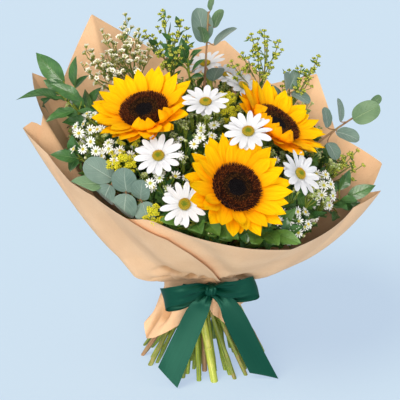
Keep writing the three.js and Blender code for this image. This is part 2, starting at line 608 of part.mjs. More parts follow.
// Leaf outlines: how far along, and the half width as a share of the leaf's whole width.
const ROUND_OUTLINE = [[0, 0.1], [0.3, 0.47], [0.72, 0.42], [1, 0]];
const POINTED_OUTLINE = [[0, 0.12], [0.32, 0.5], [0.68, 0.34], [1, 0]];
const LEAF_THICKNESS = 1.2;
const STALK_RADIUS = 0.9;
const LEAF_FACING = new THREE.Vector3(0, -0.6, 0.6);

// A leaf and its stalk as one skin, the stalk sunk into the stem that it grows from.
function leaf(name, { from, foot, tip, width }, outline, shift, grow) {
  const stem = stemRoute(name).bend;
  const root = stem.getPoint(Math.min(from, 0.99));
  const start = point(foot).add(shift);
  const end = point(tip).add(shift);
  const along = end.clone().sub(start);
  const outward = start.clone().setZ(0).normalize().multiplyScalar(0.5).add(LEAF_FACING);
  const side = outward.clone().cross(along).normalize();
  const arch = along.clone().cross(side).normalize().multiplyScalar(0.06 * along.length());
  const path = outline.map(([share]) => (
    start.clone().addScaledVector(along, share).addScaledVector(arch, 4 * share * (1 - share))
  ));
  const rings = blade(path, outline.map(([, half]) => half * width), side, LEAF_THICKNESS, grow);
  const stalk = start.clone().sub(root).normalize();
  return solid(loft([ringAbout(root, stalk, side, STALK_RADIUS + grow, 3), ...rings]));
}

// A small star of a flower on its stalk, with a raised middle, as one skin.
const STALK_SIDES = 3;
const STAR_POINTS = 6;
const STAR_RADII = [5.4, 2.4];

function star(root, at, looks, grow) {
  const frame = flowerFrame(at, looks);
  const side = new THREE.Vector3().setFromMatrixColumn(frame, 0);
  const under = at.clone().addScaledVector(looks, -1.2 - grow);
  const ring = Array.from({ length: 2 * STAR_POINTS }, (_, k) => {
    const radius = STAR_RADII[k % 2] + grow;
    const angle = Math.PI * k / STAR_POINTS;
    return new THREE.Vector3(radius * Math.cos(angle), radius * Math.sin(angle), 0).applyMatrix4(frame);
  });
  return solid(loft([
    ringAbout(root, under.clone().sub(root).normalize(), side, 0.7 + grow, STALK_SIDES),
    ringAbout(under, looks, side, 0.8 + grow, STALK_SIDES),
    ring,
    [at.clone().addScaledVector(looks, 1.7 + grow)],
  ]));
}

// Beads of buds along a stalk: each is [share of the stalk, radius, how far it leans to the side].
const BEAD_SIDES = 3;
const SINGLE_BEAD = [[0, 0.7, 0], [0.8, 0.7, 0], [0.92, 3, 0], [1.1, 0, 0]];
const PLUME_BEADS = [
  [0, 0.9, 0], [0.42, 0.8, 0], [0.52, 2.6, 2], [0.64, 0.9, 0], [0.76, 2.5, -1.8], [0.88, 0.8, 0], [0.96, 1.9, 0],
  [1.04, 0, 0],
];

function beads(root, tip, pattern, across, grow) {
  const along = tip.clone().sub(root);
  const aim = along.clone().normalize();
  const side = aim.clone().cross(across).normalize();
  return solid(loft(pattern.map(([share, radius, lean]) => {
    const centre = root.clone().addScaledVector(along, share).addScaledVector(side, lean);
    return radius === 0 ? [centre.addScaledVector(aim, grow)]
      : ringAbout(centre, aim, across, radius + grow, BEAD_SIDES);
  })));
}

// Small flowers spread evenly over a domed patch, each on a stalk of its own from the stem.
function clusterPlaces(cluster, seed) {
  const looks = point(cluster.looks).normalize();
  const frame = flowerFrame(point(cluster.at), looks);
  const random = seeded(seed);
  return Array.from({ length: cluster.count }, (_, i) => {
    const share = Math.sqrt((i + 0.5) / cluster.count);
    const angle = i * GOLDEN_TURN + 0.5 * random();
    const x = cluster.size[0] * share * Math.cos(angle);
    const y = cluster.size[1] * share * Math.sin(angle);
    const depth = -7 * share * share + 5 * (random() - 0.5);
    const at = new THREE.Vector3(x, y, depth).applyMatrix4(frame);
    const tilt = new THREE.Vector3(0.5 * Math.cos(angle) * share, 0.5 * Math.sin(angle) * share, 1);
    return { at, looks: tilt.transformDirection(frame), from: cluster.from + 0.27 * (1 - share) };
  });
}

const FLORETS = {
  star: (root, at, looks, across, grow) => star(root, at, looks, grow),
  bead: (root, at, looks, across, grow) => beads(root, at, SINGLE_BEAD, across, grow),
};

function clusterPiece(name, place, kind, shift, grow) {
  const { bend, across } = stemRoute(name);
  const at = place.at.clone().addScaledVector(place.looks, shift);
  return FLORETS[kind](bend.getPoint(place.from), at, place.looks, across, grow);
}

// A side branch of a budded plume.
const PLUME_ROOTS = [0.82, 0.05];

function plumePiece(name, tip, index, shift, grow) {
  const { bend, across } = stemRoute(name);
  const root = bend.getPoint(PLUME_ROOTS[0] + PLUME_ROOTS[1] * (index % 4));
  return beads(root, point(tip).add(new THREE.Vector3(0, 0, shift)), PLUME_BEADS, across, grow);
}

// ---- Paper, ribbon and twine

// A value read off a list of [azimuth, value, ...] along straight lines between its entries.
function readOff(list, azimuth, column) {
  for (let i = 0; i + 1 < list.length; i += 1) {
    const [from, to] = [list[i], list[i + 1]];
    if (azimuth >= from[0] && azimuth <= to[0]) {
      return from[column] + (to[column] - from[column]) * (azimuth - from[0]) / (to[0] - from[0]);
    }
  }
  return azimuth < list[0][0] ? list[0][column] : list[list.length - 1][column];
}

const RIM_ROUND = [...BOWL_RIM, [BOWL_RIM[0][0] + 360, BOWL_RIM[0][1], BOWL_RIM[0][2]]];

function rimAt(azimuth) {
  const turn = ((azimuth % 360) + 360) % 360;
  const onList = turn < RIM_ROUND[0][0] ? turn + 360 : turn;
  return { radius: readOff(RIM_ROUND, onList, 1), height: readOff(RIM_ROUND, onList, 2) };
}

function neckRadius(azimuth) {
  const away = (azimuth - NECK.leftAzimuth) / 35;
  return NECK.radius + NECK.leftBulge * Math.exp(-away * away);
}

// How the bowl's belly bulges: steeper in front of the bow, rounder at the sides.
function belly(azimuth) {
  const front = Math.max(0, Math.cos((azimuth - 275) * DEGREE)) ** 2;
  return { out: 0.46 - 0.1 * front, up: 0.12 + 0.15 * front };
}

// The azimuths of the paper's folds, the same for every sheet: the rim's own, and more between.
const FOLD_STEP = 13;
const FOLDS = RIM_ROUND.slice(0, -1).flatMap(([azimuth], i) => {
  const gap = RIM_ROUND[i + 1][0] - azimuth;
  const count = Math.ceil(gap / FOLD_STEP);
  return Array.from({ length: count }, (_, k) => azimuth + gap * k / count);
});
const PLEATS = 18;
const LAYER_STEP = 2.2;
const BOWL_LAYER_STEP = 3.4;
const BOWL_SHARES = [0.12, 0.36, 0.68, 1];

// The sheet's middle surface at one azimuth, from the hem of its skirt up to its edge.
function sheetColumn(sheet, azimuth) {
  const layer = LAYER_STEP * sheet.layer;
  const pleat = Math.cos(PLEATS * azimuth * DEGREE);
  const neck = neckRadius(azimuth) + layer + 0.7 * pleat;
  const low = TIE_HEIGHT - NECK.halfHeight + 0.3 * layer;
  const high = TIE_HEIGHT + NECK.halfHeight - 0.55 * layer;
  const hem = readOff(sheet.hem, azimuth, 1);
  const flare = readOff(FLARE, (azimuth + 360) % 360, 1) * (low - hem);
  const profile = [
    [neck + flare + 1.4 * pleat, hem],
    [neck + 0.56 * flare + 0.9 * pleat, 0.5 * hem + 0.5 * low],
    [neck, low],
    [neck, high],
  ];
  const rim = rimAt(azimuth);
  const { out, up } = belly(azimuth);
  const elbow = { radius: neck + out * (rim.radius - neck), height: high + up * (rim.height - high) };
  const reach = readOff(sheet.reach, azimuth, 1);
  for (const share of BOWL_SHARES) {
    const t = share * reach;
    const radius = (1 - t) ** 2 * neck + 2 * t * (1 - t) * elbow.radius + t * t * rim.radius;
    const height = (1 - t) ** 2 * high + 2 * t * (1 - t) * elbow.height + t * t * rim.height;
    const ripple = 2.2 * (1 - t) * t * 4 * Math.cos(9 * azimuth * DEGREE);
    const run = (1 - t) * (elbow.radius - neck) + t * (rim.radius - elbow.radius);
    const rise = (1 - t) * (elbow.height - high) + t * (rim.height - elbow.height);
    const push = (ripple + BOWL_LAYER_STEP * sheet.layer * Math.min(1, 4 * t)) / Math.hypot(run, rise);
    profile.push([radius + push * rise, height - push * run]);
  }
  return profile.map(([radius, height]) => new THREE.Vector3(
    radius * Math.cos(azimuth * DEGREE), radius * Math.sin(azimuth * DEGREE), height,
  ));
}

function kraftSheet(sheet, grow) {
  const [first, last] = sheet.azimuths;
  const folds = [-360, 0, 360].flatMap((turn) => FOLDS.map((azimuth) => azimuth + turn))
    .filter((azimuth) => azimuth > first - 0.1 && azimuth < last + 0.1);
  return solid(shell(folds.map((azimuth) => sheetColumn(sheet, azimuth)), SHEET_THICKNESS / 2 + grow));
}

// A thin closed sheet about a grid of points, both faces split the same way.
function shell(grid, half) {
  const columns = grid.length;
  const rows = grid[0].length;
  const clamp = (value, limit) => Math.min(Math.max(value, 0), limit - 1);
  const positions = [];
  for (const sign of [1, -1]) {
    for (let i = 0; i < columns; i += 1) {
      for (let j = 0; j < rows; j += 1) {
        const across = grid[clamp(i + 1, columns)][j].clone().sub(grid[clamp(i - 1, columns)][j]);
        const along = grid[i][clamp(j + 1, rows)].clone().sub(grid[i][clamp(j - 1, rows)]);
        const normal = across.cross(along).normalize();
        positions.push(...grid[i][j].clone().addScaledVector(normal, sign * half).toArray());
      }
    }
  }
  const at = (face, i, j) => face * columns * rows + i * rows + j;
  const faces = [];
  const quad = (a, b, c, d) => faces.push(a, b, c, a, c, d);
  for (let i = 0; i + 1 < columns; i += 1) {
    for (let j = 0; j + 1 < rows; j += 1) {
      quad(at(0, i, j), at(0, i + 1, j), at(0, i + 1, j + 1), at(0, i, j + 1));
      faces.push(at(1, i, j), at(1, i + 1, j + 1), at(1, i + 1, j));
      faces.push(at(1, i, j), at(1, i, j + 1), at(1, i + 1, j + 1));
    }
  }
  for (let i = 0; i + 1 < columns; i += 1) {
    quad(at(1, i, 0), at(1, i + 1, 0), at(0, i + 1, 0), at(0, i, 0));
    quad(at(0, i, rows - 1), at(0, i + 1, rows - 1), at(1, i + 1, rows - 1), at(1, i, rows - 1));
  }
  for (let j = 0; j + 1 < rows; j += 1) {
    quad(at(0, 0, j), at(0, 0, j + 1), at(1, 0, j + 1), at(1, 0, j));
    quad(at(1, columns - 1, j), at(1, columns - 1, j + 1), at(0, columns - 1, j + 1), at(0, columns - 1, j));
  }
  return skin(positions, faces);
}

// A length of ribbon between two rails.
function ribbonLength({ upper, lower }, grow) {
  const middles = upper.map((values, i) => point(values).lerp(point(lower[i]), 0.5));
  const rings = upper.map((values, i) => {
    const [a, b] = [point(values), point(lower[i])];
    const before = middles[Math.max(i - 1, 0)];
    const after = middles[Math.min(i + 1, middles.length - 1)];
    const along = after.clone().sub(before).normalize();
    const across = b.clone().sub(a).normalize();
    const out = along.clone().cross(across).normalize().multiplyScalar(RIBBON_THICKNESS / 2 + grow);
    const over = across.multiplyScalar(grow);
    return [
      b.clone().add(over).add(out), a.clone().sub(over).add(out),
      a.clone().sub(over).sub(out), b.clone().add(over).sub(out),
    ];
  });
  return solid(loft(rings));
}

const BAND_SIDES = 20;

// The ribbon round the neck of the paper, a ring a little proud of the outermost sheet.
function ribbonBand(grow) {
  const positions = [];
  const faces = [];
  for (let k = 0; k < BAND_SIDES; k += 1) {
    const azimuth = 360 * k / BAND_SIDES;
    const inner = neckRadius(azimuth) + LAYER_STEP * readOff(OUTERMOST, azimuth, 1) + BAND.clearance - grow;
    const outer = inner + BAND.thickness + 2 * grow;
    const half = BAND.halfHeight + grow;
    for (const [radius, height] of [[inner, -half], [outer, -half], [outer, half], [inner, half]]) {
      const angle = azimuth * DEGREE;
      positions.push(radius * Math.cos(angle), radius * Math.sin(angle), BAND.height + height);
    }
    for (let side = 0; side < 4; side += 1) {
      const next = (side + 1) % 4;
      const [a, b] = [4 * k + side, 4 * k + next];
      const [c, d] = [4 * ((k + 1) % BAND_SIDES) + next, 4 * ((k + 1) % BAND_SIDES) + side];
      faces.push(a, b, c, a, c, d);
    }
  }
  return solid(skin(positions, faces));
}

function satinRibbon(grow) {
  const knot = new THREE.SphereGeometry(1, 8, 5).scale(...KNOT.size.map((size) => size + grow))
    .translate(...KNOT.at);
  const lengths = Object.values(BOW).map((rails) => ribbonLength(rails, grow));
  return join([ribbonBand(grow), solid(knot), ...lengths]);
}

// Three turns of twine, drawn tight round the stems.
function bindingTwine(grow) {
  const { inner, outer, halfHeight } = TWINE;
  const valley = outer - 0.9;
  const profile = [
    [inner - grow, -halfHeight - grow], [outer + grow, -0.8 * halfHeight], [valley + grow, -0.4 * halfHeight],
    [outer + grow, 0], [valley + grow, 0.4 * halfHeight], [outer + grow, 0.8 * halfHeight],
    [inner - grow, halfHeight + grow],
  ];
  const ring = turned([...profile, profile[0]], 14);
  return solid(ring.translate(0, 0, TIE_HEIGHT));
}

// ---- Assembly

const bunch = new THREE.Group();
const settled = [];

// Everything already in place that another piece must keep clear of, with its gap grown on.
function settle(owner, grown) {
  settled.push({ owner, grown });
}

const inTheWay = (owner, piece) => settled.filter((other) => other.owner !== owner && meets(piece, other.grown));

// The largest piece left after cutting back to what is already in place.
function trimmed(owner, body) {
  const others = inTheWay(owner, body).map((other) => other.grown);
  return others.length ? body.subtract(join(others)) : body;
}

function largest(body) {
  return body.decompose().sort((a, b) => b.volume() - a.volume())[0];
}

function addMesh(name, body, finish) {
  const { vertProperties, triVerts } = largest(body).simplify(SLIVER).getMesh();
  const geometry = new THREE.BufferGeometry();
  geometry.setAttribute('position', new THREE.BufferAttribute(vertProperties, 3));
  geometry.setIndex(new THREE.BufferAttribute(triVerts, 1));
  geometry.computeVertexNormals();
  const [color, roughness] = FINISHES[finish];
  const material = new THREE.MeshStandardMaterial({ color, roughness, metalness: 0, flatShading: true });
  if (finish === 'kraft') material.side = THREE.DoubleSide;
  const mesh = new THREE.Mesh(geometry, material);
  mesh.name = name;
  bunch.add(mesh);
}

// Builds a piece of its own: cut back to its neighbours, added, then kept clear of by the rest.
function place(name, build, finish) {
  addMesh(name, trimmed(name, build(0)), finish);
  settle(name, build(GAP));
}

const flowerStem = (daisy) => `chrysanthemum_stem_${daisy.stem}`;

for (const flower of Object.keys(SUNFLOWERS)) {
  const looks = point(SUNFLOWERS[flower].looks).normalize();
  const depth = DISC_HEIGHT + CALYX_DEPTH;
  const stem = STEMS[`sunflower_${flower}_stem`];
  stem.top = point(SUNFLOWERS[flower].face).addScaledVector(looks, -depth).toArray();
  stem.aim = looks.toArray();
}
for (const daisy of [...DAISIES].reverse()) {
  const looks = point(daisy.looks).normalize();
  daisy.base = point(daisy.at).addScaledVector(looks, -DAISY_DISC_HEIGHT - DAISY_CALYX_DEPTH + 2);
  STEMS[flowerStem(daisy)].top = daisy.base.toArray();
  STEMS[flowerStem(daisy)].aim = looks.toArray();
}

for (const name of Object.keys(SHEETS)) place(name, (grow) => kraftSheet(SHEETS[name], grow), 'kraft');
place('satin_ribbon', satinRibbon, 'satin');
place('binding_twine', bindingTwine, 'twine');
for (const name of Object.keys(STEMS)) settle(name, stemSolid(name, GAP));
for (const [side, flower] of Object.entries(SUNFLOWERS)) {
  place(`sunflower_${side}_disc`, (grow) => sunflowerDisc(flower, grow), 'seed_brown');
  place(`sunflower_${side}_petals`, (grow) => sunflowerRays(flower, grow), 'petal_gold');
}
DAISIES.forEach((daisy, i) => {
  place(`daisy_${i + 1}_disc`, (grow) => daisyDisc(daisy, grow), 'daisy_ochre');
  place(`daisy_${i + 1}_petals`, (grow) => daisyRays(daisy, i, grow), 'petal_white');
});

// Stems with their own calyxes, shoots and foliage.
for (const [side, flower] of Object.entries(SUNFLOWERS)) {
  const name = `sunflower_${side}_stem`;
  addMesh(name, join([stemSolid(name, 0), trimmed(name, sunflowerCalyx(flower, 0))]), 'stem_green');
  settle(name, sunflowerCalyx(flower, GAP));
}

const SHOOT_FROM = [0.62, 0.5, 0.72, 0.4];

for (const name of Object.keys(STEMS).filter((stem) => stem.startsWith('chrysanthemum'))) {
  const [first, ...others] = DAISIES.filter((daisy) => flowerStem(daisy) === name);
  const parts = [stemSolid(name, 0), daisyCalyx(first, 0)];
  settle(name, daisyCalyx(first, GAP));
  for (const daisy of others) {
    const looks = point(daisy.looks).normalize();
    const side = (from, grow) => join([
      shoot(name, from, daisy.base, looks, 1.6, STEM_SIDES, 4, grow), daisyCalyx(daisy, grow),
    ]);
    const from = SHOOT_FROM.find((share) => !inTheWay(name, side(share, 0)).length) ?? SHOOT_FROM[0];
    parts.push(trimmed(name, side(from, 0)));
    settle(name, side(from, GAP));
  }
  addMesh(name, join(parts), 'stem_green');
}

// Foliage that is only added where it stays clear, nudged a little where it must be.
function grown(name, choices) {
  const chosen = choices.find((build) => !inTheWay(name, build(0)).length);
  if (chosen) settle(name, chosen(GAP));
  return chosen ? [chosen(0)] : [];
}

const NUDGES = [[0, 0, 0], [0, 0, 4], [0, -4, 0], [0, 4, 0], [4, 0, 0], [-4, 0, 0], [0, 0, -4], [0, -5, 6], [0, 0, 9]];

function leafyStem(name, leaves, outline, finish) {
  const parts = leaves.flatMap((values) => grown(name, NUDGES.map((nudge) => (
    (grow) => leaf(name, values, outline, point(nudge), grow)
  ))));
  addMesh(name, join([stemSolid(name, 0), ...parts]), finish);
}

for (const [side, leaves] of Object.entries(ROUND_LEAVES)) {
  leafyStem(`eucalyptus_stem_${side}`, leaves, ROUND_OUTLINE, 'eucalyptus_blue');
}
for (const [name, leaves] of Object.entries(POINTED_LEAVES)) leafyStem(name, leaves, POINTED_OUTLINE, 'leaf_green');

const LIFTS = [0, 3, 6, -3, 9];

function clusterSpray(name, clusters, kind, finish) {
  const places = clusters.flatMap((cluster, i) => clusterPlaces(cluster, 7 * i + name.length));
  const parts = places.flatMap((spot) => grown(name, LIFTS.map((lift) => (
    (grow) => clusterPiece(name, spot, kind, lift, grow)
  ))));
  addMesh(name, join([stemSolid(name, 0), ...parts]), finish);
}

for (const [name, clusters] of Object.entries(ASTER_CLUSTERS)) clusterSpray(name, clusters, 'star', 'aster_white');
for (const [name, clusters] of Object.entries(SOLIDAGO_CLUSTERS)) {
  clusterSpray(name, clusters, 'bead', 'solidago_yellow');
}
for (const [name, tips] of Object.entries(BUD_PLUMES)) {
  const parts = tips.flatMap((tip, i) => grown(name, LIFTS.map((lift) => (
    (grow) => plumePiece(name, tip, i, lift, grow)
  ))));
  addMesh(name, join([stemSolid(name, 0), ...parts]), 'bud_green');
}

bunch.position.set(...FOOTPRINT_SHIFT);
export default bunch;
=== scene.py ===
import math
from types import SimpleNamespace

import bpy
import numpy as np
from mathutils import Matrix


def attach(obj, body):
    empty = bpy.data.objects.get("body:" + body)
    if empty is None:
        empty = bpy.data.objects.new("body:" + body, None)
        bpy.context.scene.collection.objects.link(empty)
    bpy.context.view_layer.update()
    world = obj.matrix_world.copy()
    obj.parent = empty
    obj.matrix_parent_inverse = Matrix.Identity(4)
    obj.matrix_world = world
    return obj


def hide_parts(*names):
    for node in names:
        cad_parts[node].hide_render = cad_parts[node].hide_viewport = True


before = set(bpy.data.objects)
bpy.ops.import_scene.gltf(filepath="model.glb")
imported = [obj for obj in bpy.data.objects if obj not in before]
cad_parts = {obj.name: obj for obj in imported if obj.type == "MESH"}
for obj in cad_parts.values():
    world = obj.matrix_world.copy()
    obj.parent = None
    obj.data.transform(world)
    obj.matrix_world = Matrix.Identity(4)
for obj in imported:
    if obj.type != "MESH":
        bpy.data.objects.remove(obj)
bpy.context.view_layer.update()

# ==== Sunflowers
# Three cut sunflowers. Each head is a ring of thin golden petals in overlapping layers round a seed
# disc, held by a green calyx of pointed bracts on a thick, ridged, slightly hairy stem. The stems
# pass through the tie at a slant, as every stem of a hand-tied bunch does, and are cut off level.

MM = 0.001
BUNCH_ASIDE = np.array([7.3, 9.9, 0.0])
UPWARD = np.array([0.0, 0.0, 1.0])
GOLDEN_TURN = math.pi * (3 - math.sqrt(5))
TIE_HEIGHT = 115.0
# The stems stand in rings: how far from the middle each ring passes the tie, and how much it slants.
RINGS = {
    "core": (3.6, 0.12), "inside": (8.0, 0.25), "middle": (12.0, 0.36),
    "between": (17.0, 0.46), "outer": (22.0, 0.55),
}
FEET_SPREAD = 0.2
STRAIGHT_ROWS = 16
BENT_ROWS = 40
# A stem's thickness at its foot, at the tie and at its top, as shares; then its sides and its ribs.
THICK_STEM = 4.0
THICK_SHAPE = (1.0, 1.0, 0.75), 18, (6, 0.035)
SLIM_SHAPE = (1.4, 1.15, 0.42), 10, (5, 0.05)
JOINT_SWELL = 0.16
JOINT_REACH = 2.4
# A cut end, from its rim to its middle: how wide each ring is, and how far it is dished.
CUT_RINGS = [(1.0, 0.0), (0.9, 0.0), (0.55, 0.25), (0.02, 0.3)]
STALK, CUT = 0, 1


def way_at(angle):
    """The level way out at an angle."""
    return np.array([math.cos(angle), math.sin(angle), 0.0])


def unit(vectors):
    vectors = np.asarray(vectors, float)
    return vectors / np.linalg.norm(vectors, axis=-1, keepdims=True)


def seeded(seed):
    """The same repeatable draw of numbers that set the petals out in the solid model."""
    state = seed * 2654435761 % 2**32

    def draw():
        nonlocal state
        state = (state * 1664525 + 1013904223) % 2**32
        return state / 2**32

    return draw


def spline(points, count):
    """A smooth line through the points, given back as count points."""
    points = np.asarray(points, float)
    ends = np.concatenate([2 * points[:1] - points[1:2], points, 2 * points[-1:] - points[-2:-1]])
    place = np.linspace(0, len(points) - 1, count)
    i = np.minimum(place.astype(int), len(points) - 2)
    f = (place - i)[:, None]
    a, b, c, d = ends[i], ends[i + 1], ends[i + 2], ends[i + 3]
    return 0.5 * (2 * b + (c - a) * f + (2 * a - 5 * b + 4 * c - d) * f**2 + (3 * b - a - 3 * c + d) * f**3)


def profile(pairs, at):
    """A value read off a smooth line through (place, value) pairs."""
    line = spline(pairs, 160)
    return np.interp(at, line[:, 0], line[:, 1])


def bezier(handles, shares):
    a, b, c, d = (np.asarray(h, float) for h in handles)
    t = np.atleast_1d(np.asarray(shares, float))[:, None]
    return (1 - t) ** 3 * a + 3 * t * (1 - t) ** 2 * b + 3 * t * t * (1 - t) * c + t**3 * d


def reach_out(start, leave, end, arrive, bend=0.33):
    """Handles of a shoot that leaves one way and arrives another."""
    start, end = np.asarray(start, float), np.asarray(end, float)
    length = np.linalg.norm(end - start)
    return [start, start + unit(leave) * bend * length, end - unit(arrive) * bend * length, end]


class Skin:
    """The points and faces of one piece, gathered a sheet at a time."""

    def __init__(self):
        self.points, self.faces, self.marks, self.kinds, self.tones = [], [], [], [], []
        self.count = 0

    def lay(self, sheets, kind=0, tone=0.5, closed=False):
        """Adds sheets of rows by columns of points. A closed one joins its last column to its first.

        Its tone is one number, one for each sheet, or one for each point of a single sheet.
        """
        sheets = np.asarray(sheets, float)
        if sheets.ndim == 3:
            sheets = sheets[None]
        many, rows, columns, _ = sheets.shape
        spans = columns if closed else columns - 1
        i, k = (index.ravel() for index in np.meshgrid(np.arange(rows - 1), np.arange(spans), indexing="ij"))
        far = (k + 1) % columns
        this, next_row = i * columns, (i + 1) * columns
        quads = np.stack([this + k, this + far, next_row + far, next_row + k], 1)
        marks = np.stack([np.stack([k, k + 1, k + 1, k], 1) / spans,
                          np.stack([i, i, i + 1, i + 1], 1) / (rows - 1)], 2)
        starts = self.count + np.arange(many) * rows * columns
        self.faces.append((quads[None] + starts[:, None, None]).reshape(-1, 4))
        self.marks.append(np.tile(marks[None], (many, 1, 1, 1)).reshape(-1, 2))
        self.kinds.append(np.full(many * len(quads), kind))
        tone = np.asarray(tone, float)
        if tone.ndim < 2:
            tone = np.repeat(np.broadcast_to(tone, many), rows * columns)
        self.tones.append(tone.ravel())
        self.points.append(sheets.reshape(-1, 3))
        self.count += many * rows * columns

    def build(self, name, materials, stands_for, finish):
        """Makes the piece, in the bunch's place, and hides the parts of the solid model that it stands for.
        """
        faces = np.concatenate(self.faces).astype(np.int32)
        mesh = bpy.data.meshes.new(name)
        mesh.vertices.add(self.count)
        mesh.loops.add(faces.size)
        mesh.polygons.add(len(faces))
        mesh.vertices.foreach_set("co", ((np.concatenate(self.points) + BUNCH_ASIDE) * MM).ravel())
        mesh.loops.foreach_set("vertex_index", faces.ravel())
        mesh.polygons.foreach_set("loop_start", np.arange(0, faces.size, 4, dtype=np.int32))
        mesh.polygons.foreach_set("material_index", np.concatenate(self.kinds).astype(np.int32))
        mesh.polygons.foreach_set("use_smooth", np.ones(len(faces), bool))
        mesh.uv_layers.new(name="UVMap").data.foreach_set("uv", np.concatenate(self.marks).ravel())
        mesh.attributes.new("tone", "FLOAT", "POINT").data.foreach_set("value", np.concatenate(self.tones))
        for material in materials:
            mesh.materials.append(material)
        mesh.update()
        mesh.validate()
        made = bpy.data.objects.new(name, mesh)
        bpy.context.scene.collection.objects.link(made)
        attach(made, "root")
        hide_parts(*stands_for)
        return made


def tube(path, radii, sides, ribs=(0, 0.0)):
    """Rings of points round a path. Ribs are how many run along it, and their height as a share."""
    path = np.asarray(path, float)
    radii = np.broadcast_to(radii, len(path))
    along = unit(np.gradient(path, axis=0))
    across = np.array([1.0, 0.0, 0.0]) if abs(along[0][0]) < 0.7 else np.array([0.0, 1.0, 0.0])
    angles = np.linspace(0, 2 * math.pi, sides, endpoint=False)
    swell = 1 + ribs[1] * np.cos(ribs[0] * angles)
    rings = []
    for centre, radius, way in zip(path, radii, along):
        across = unit(across - way * (across @ way))
        other = np.cross(way, across)
        ring = np.cos(angles)[:, None] * across + np.sin(angles)[:, None] * other
        rings.append(centre + radius * swell[:, None] * ring)
    return np.array(rings)


def blade(path, half_widths, side, columns, cup=0.0, fold=0.0, pleat=0.0, twist=0.0, wave=0.0, notch=0.0):
    """A petal or leaf: rows along its path and columns across it, its face up from path and side."""
    path = np.asarray(path, float)
    share = np.linspace(1, -1, columns)
    t = np.linspace(0, 1, len(path))
    along = unit(np.gradient(path, axis=0))
    side = np.broadcast_to(np.asarray(side, float), path.shape)
    face = unit(np.cross(along, side))
    turn = (twist * t)[:, None]
    edge = side * np.cos(turn) + face * np.sin(turn)
    up = face * np.cos(turn) - side * np.sin(turn)
    lift = cup * share**2 + fold * np.abs(share) + pleat * np.cos(3 * math.pi * share)
    ripple = wave * np.sin(2 * math.pi * (2.3 * t[:, None] + 0.21 * np.sign(share))) * share**2
    width = np.asarray(half_widths, float)[:, None, None]
    pulled = notch * (1 - np.abs(share))[None, :] * np.clip((t - 0.8) / 0.2, 0, 1)[:, None] ** 2
    spread = path[:, None, :] + width * share[None, :, None] * edge[:, None, :]
    raised = spread + width * (lift[None, :] + ripple)[:, :, None] * up[:, None, :]
    return raised - pulled[:, :, None] * along[:, None, :]


def flower_frame(at, looks):
    """A flower's own axes: the third is the way it looks, the second is uphill across its face."""
    z = unit(looks)
    y = unit(UPWARD - z * z[2])
    return np.stack([np.cross(y, z), y, z], 1), np.asarray(at, float)


def placed(points, place):
    turn, at = place
    return np.asarray(points, float) @ turn.T + at


def turned(outline, sides):
    """A round shape from (radius, height) pairs, with its faces out when it is listed from below."""
    angles = np.linspace(0, 2 * math.pi, sides, endpoint=False)
    outline = np.asarray(outline, float)
    ring = np.stack([np.cos(angles), np.sin(angles), np.zeros(sides)], 1)
    return outline[:, :1, None] * ring[None] + UPWARD * outline[:, 1:, None]


def lay_round(skin, outline, sides, place, kind=0, tone=0.5):
    skin.lay(placed(turned(outline, sides), place), kind, tone, closed=True)


laid_stems = []
flower_heads = []


def stem_run(ring, lean):
    """Where a stem of a ring is cut and where it passes the tie."""
    offset, slope = RINGS[ring]
    lean_way = way_at(math.radians(lean))
    across = np.array([-lean_way[1], lean_way[0], 0.0])
    if ring in ("between", "outer"):
        slope += FEET_SPREAD * max(0.0, lean_way[0]) ** 2
    tie = across * offset + TIE_HEIGHT * UPWARD
    return tie - lean_way * slope * TIE_HEIGHT - TIE_HEIGHT * UPWARD, tie


def lay_stem(skin, ring, lean, radius, top, aim, joints=0.0, tone=0.5):
    """A stem, straight from its cut foot to the tie and then bending out to its top."""
    foot, tie = stem_run(ring, lean)
    top = np.asarray(top, float)
    rise = unit(tie - foot)
    length = np.linalg.norm(top - tie)
    handles = [tie, tie + rise * 0.4 * length, top - unit(aim) * 0.33 * length, top]
    (foot_share, tie_share, top_share), sides, ribs = THICK_SHAPE if radius > THICK_STEM else SLIM_SHAPE
    lower = foot + (tie - foot) * np.linspace(0, 1, STRAIGHT_ROWS)[:, None]
    shares = np.linspace(0, 1, BENT_ROWS)
    path = np.concatenate([lower[:-1], bezier(handles, shares)])
    radii = radius * np.concatenate([np.linspace(foot_share, tie_share, STRAIGHT_ROWS)[:-1],
                                     tie_share + (top_share - tie_share) * shares])
    if joints:
        run = np.concatenate([[0], np.cumsum(np.linalg.norm(np.diff(path, axis=0), axis=1))])
        away = np.abs((run + 9 * lean) % joints - joints / 2)
        radii = radii * (1 + JOINT_SWELL * np.exp(-((away / JOINT_REACH) ** 2)))
    rings = tube(path, radii, sides, ribs)
    rings[0][:, 2] = 0.0
    skin.lay(rings, STALK, tone, closed=True)
    middle = rings[0].mean(axis=0)
    inward, sunk = (np.array(column)[:, None, None] for column in zip(*CUT_RINGS))
    cut = (middle + (rings[0] - middle) * inward + sunk * UPWARD)[::-1]
    skin.lay(cut, CUT, tone, closed=True)
    laid_stems.append((handles, path, radii))
    return handles


def step(tree, kind, inputs=None, out=0, **settings):
    """Adds one shader node. Its inputs are plain values or the outputs of nodes made before it."""
    made = tree.nodes.new(kind)
    for key, value in settings.items():
        setattr(made, key, value)
    for key, value in (inputs or {}).items():
        if isinstance(value, bpy.types.NodeSocket):
            tree.links.new(value, made.inputs[key])
        else:
            made.inputs[key].default_value = value
    return made.outputs[out]


def reckon(tree, operation, first, second=0.0):
    return step(tree, "ShaderNodeMath", {0: first, 1: second}, operation=operation)


def between(tree, value, low, high):
    """0 at low, 1 at high and smooth between them."""
    return step(tree, "ShaderNodeMapRange", {"Value": value, "From Min": low, "From Max": high},
                interpolation_type="SMOOTHSTEP")


def blend(tree, share, first, second):
    """Two colours mixed by a share from 0 to 1. A colour is three numbers or a node's output."""
    first, second = ((*colour, 1) if isinstance(colour, tuple) else colour for colour in (first, second))
    return step(tree, "ShaderNodeMix", {0: share, 6: first, 7: second}, 2, data_type="RGBA")


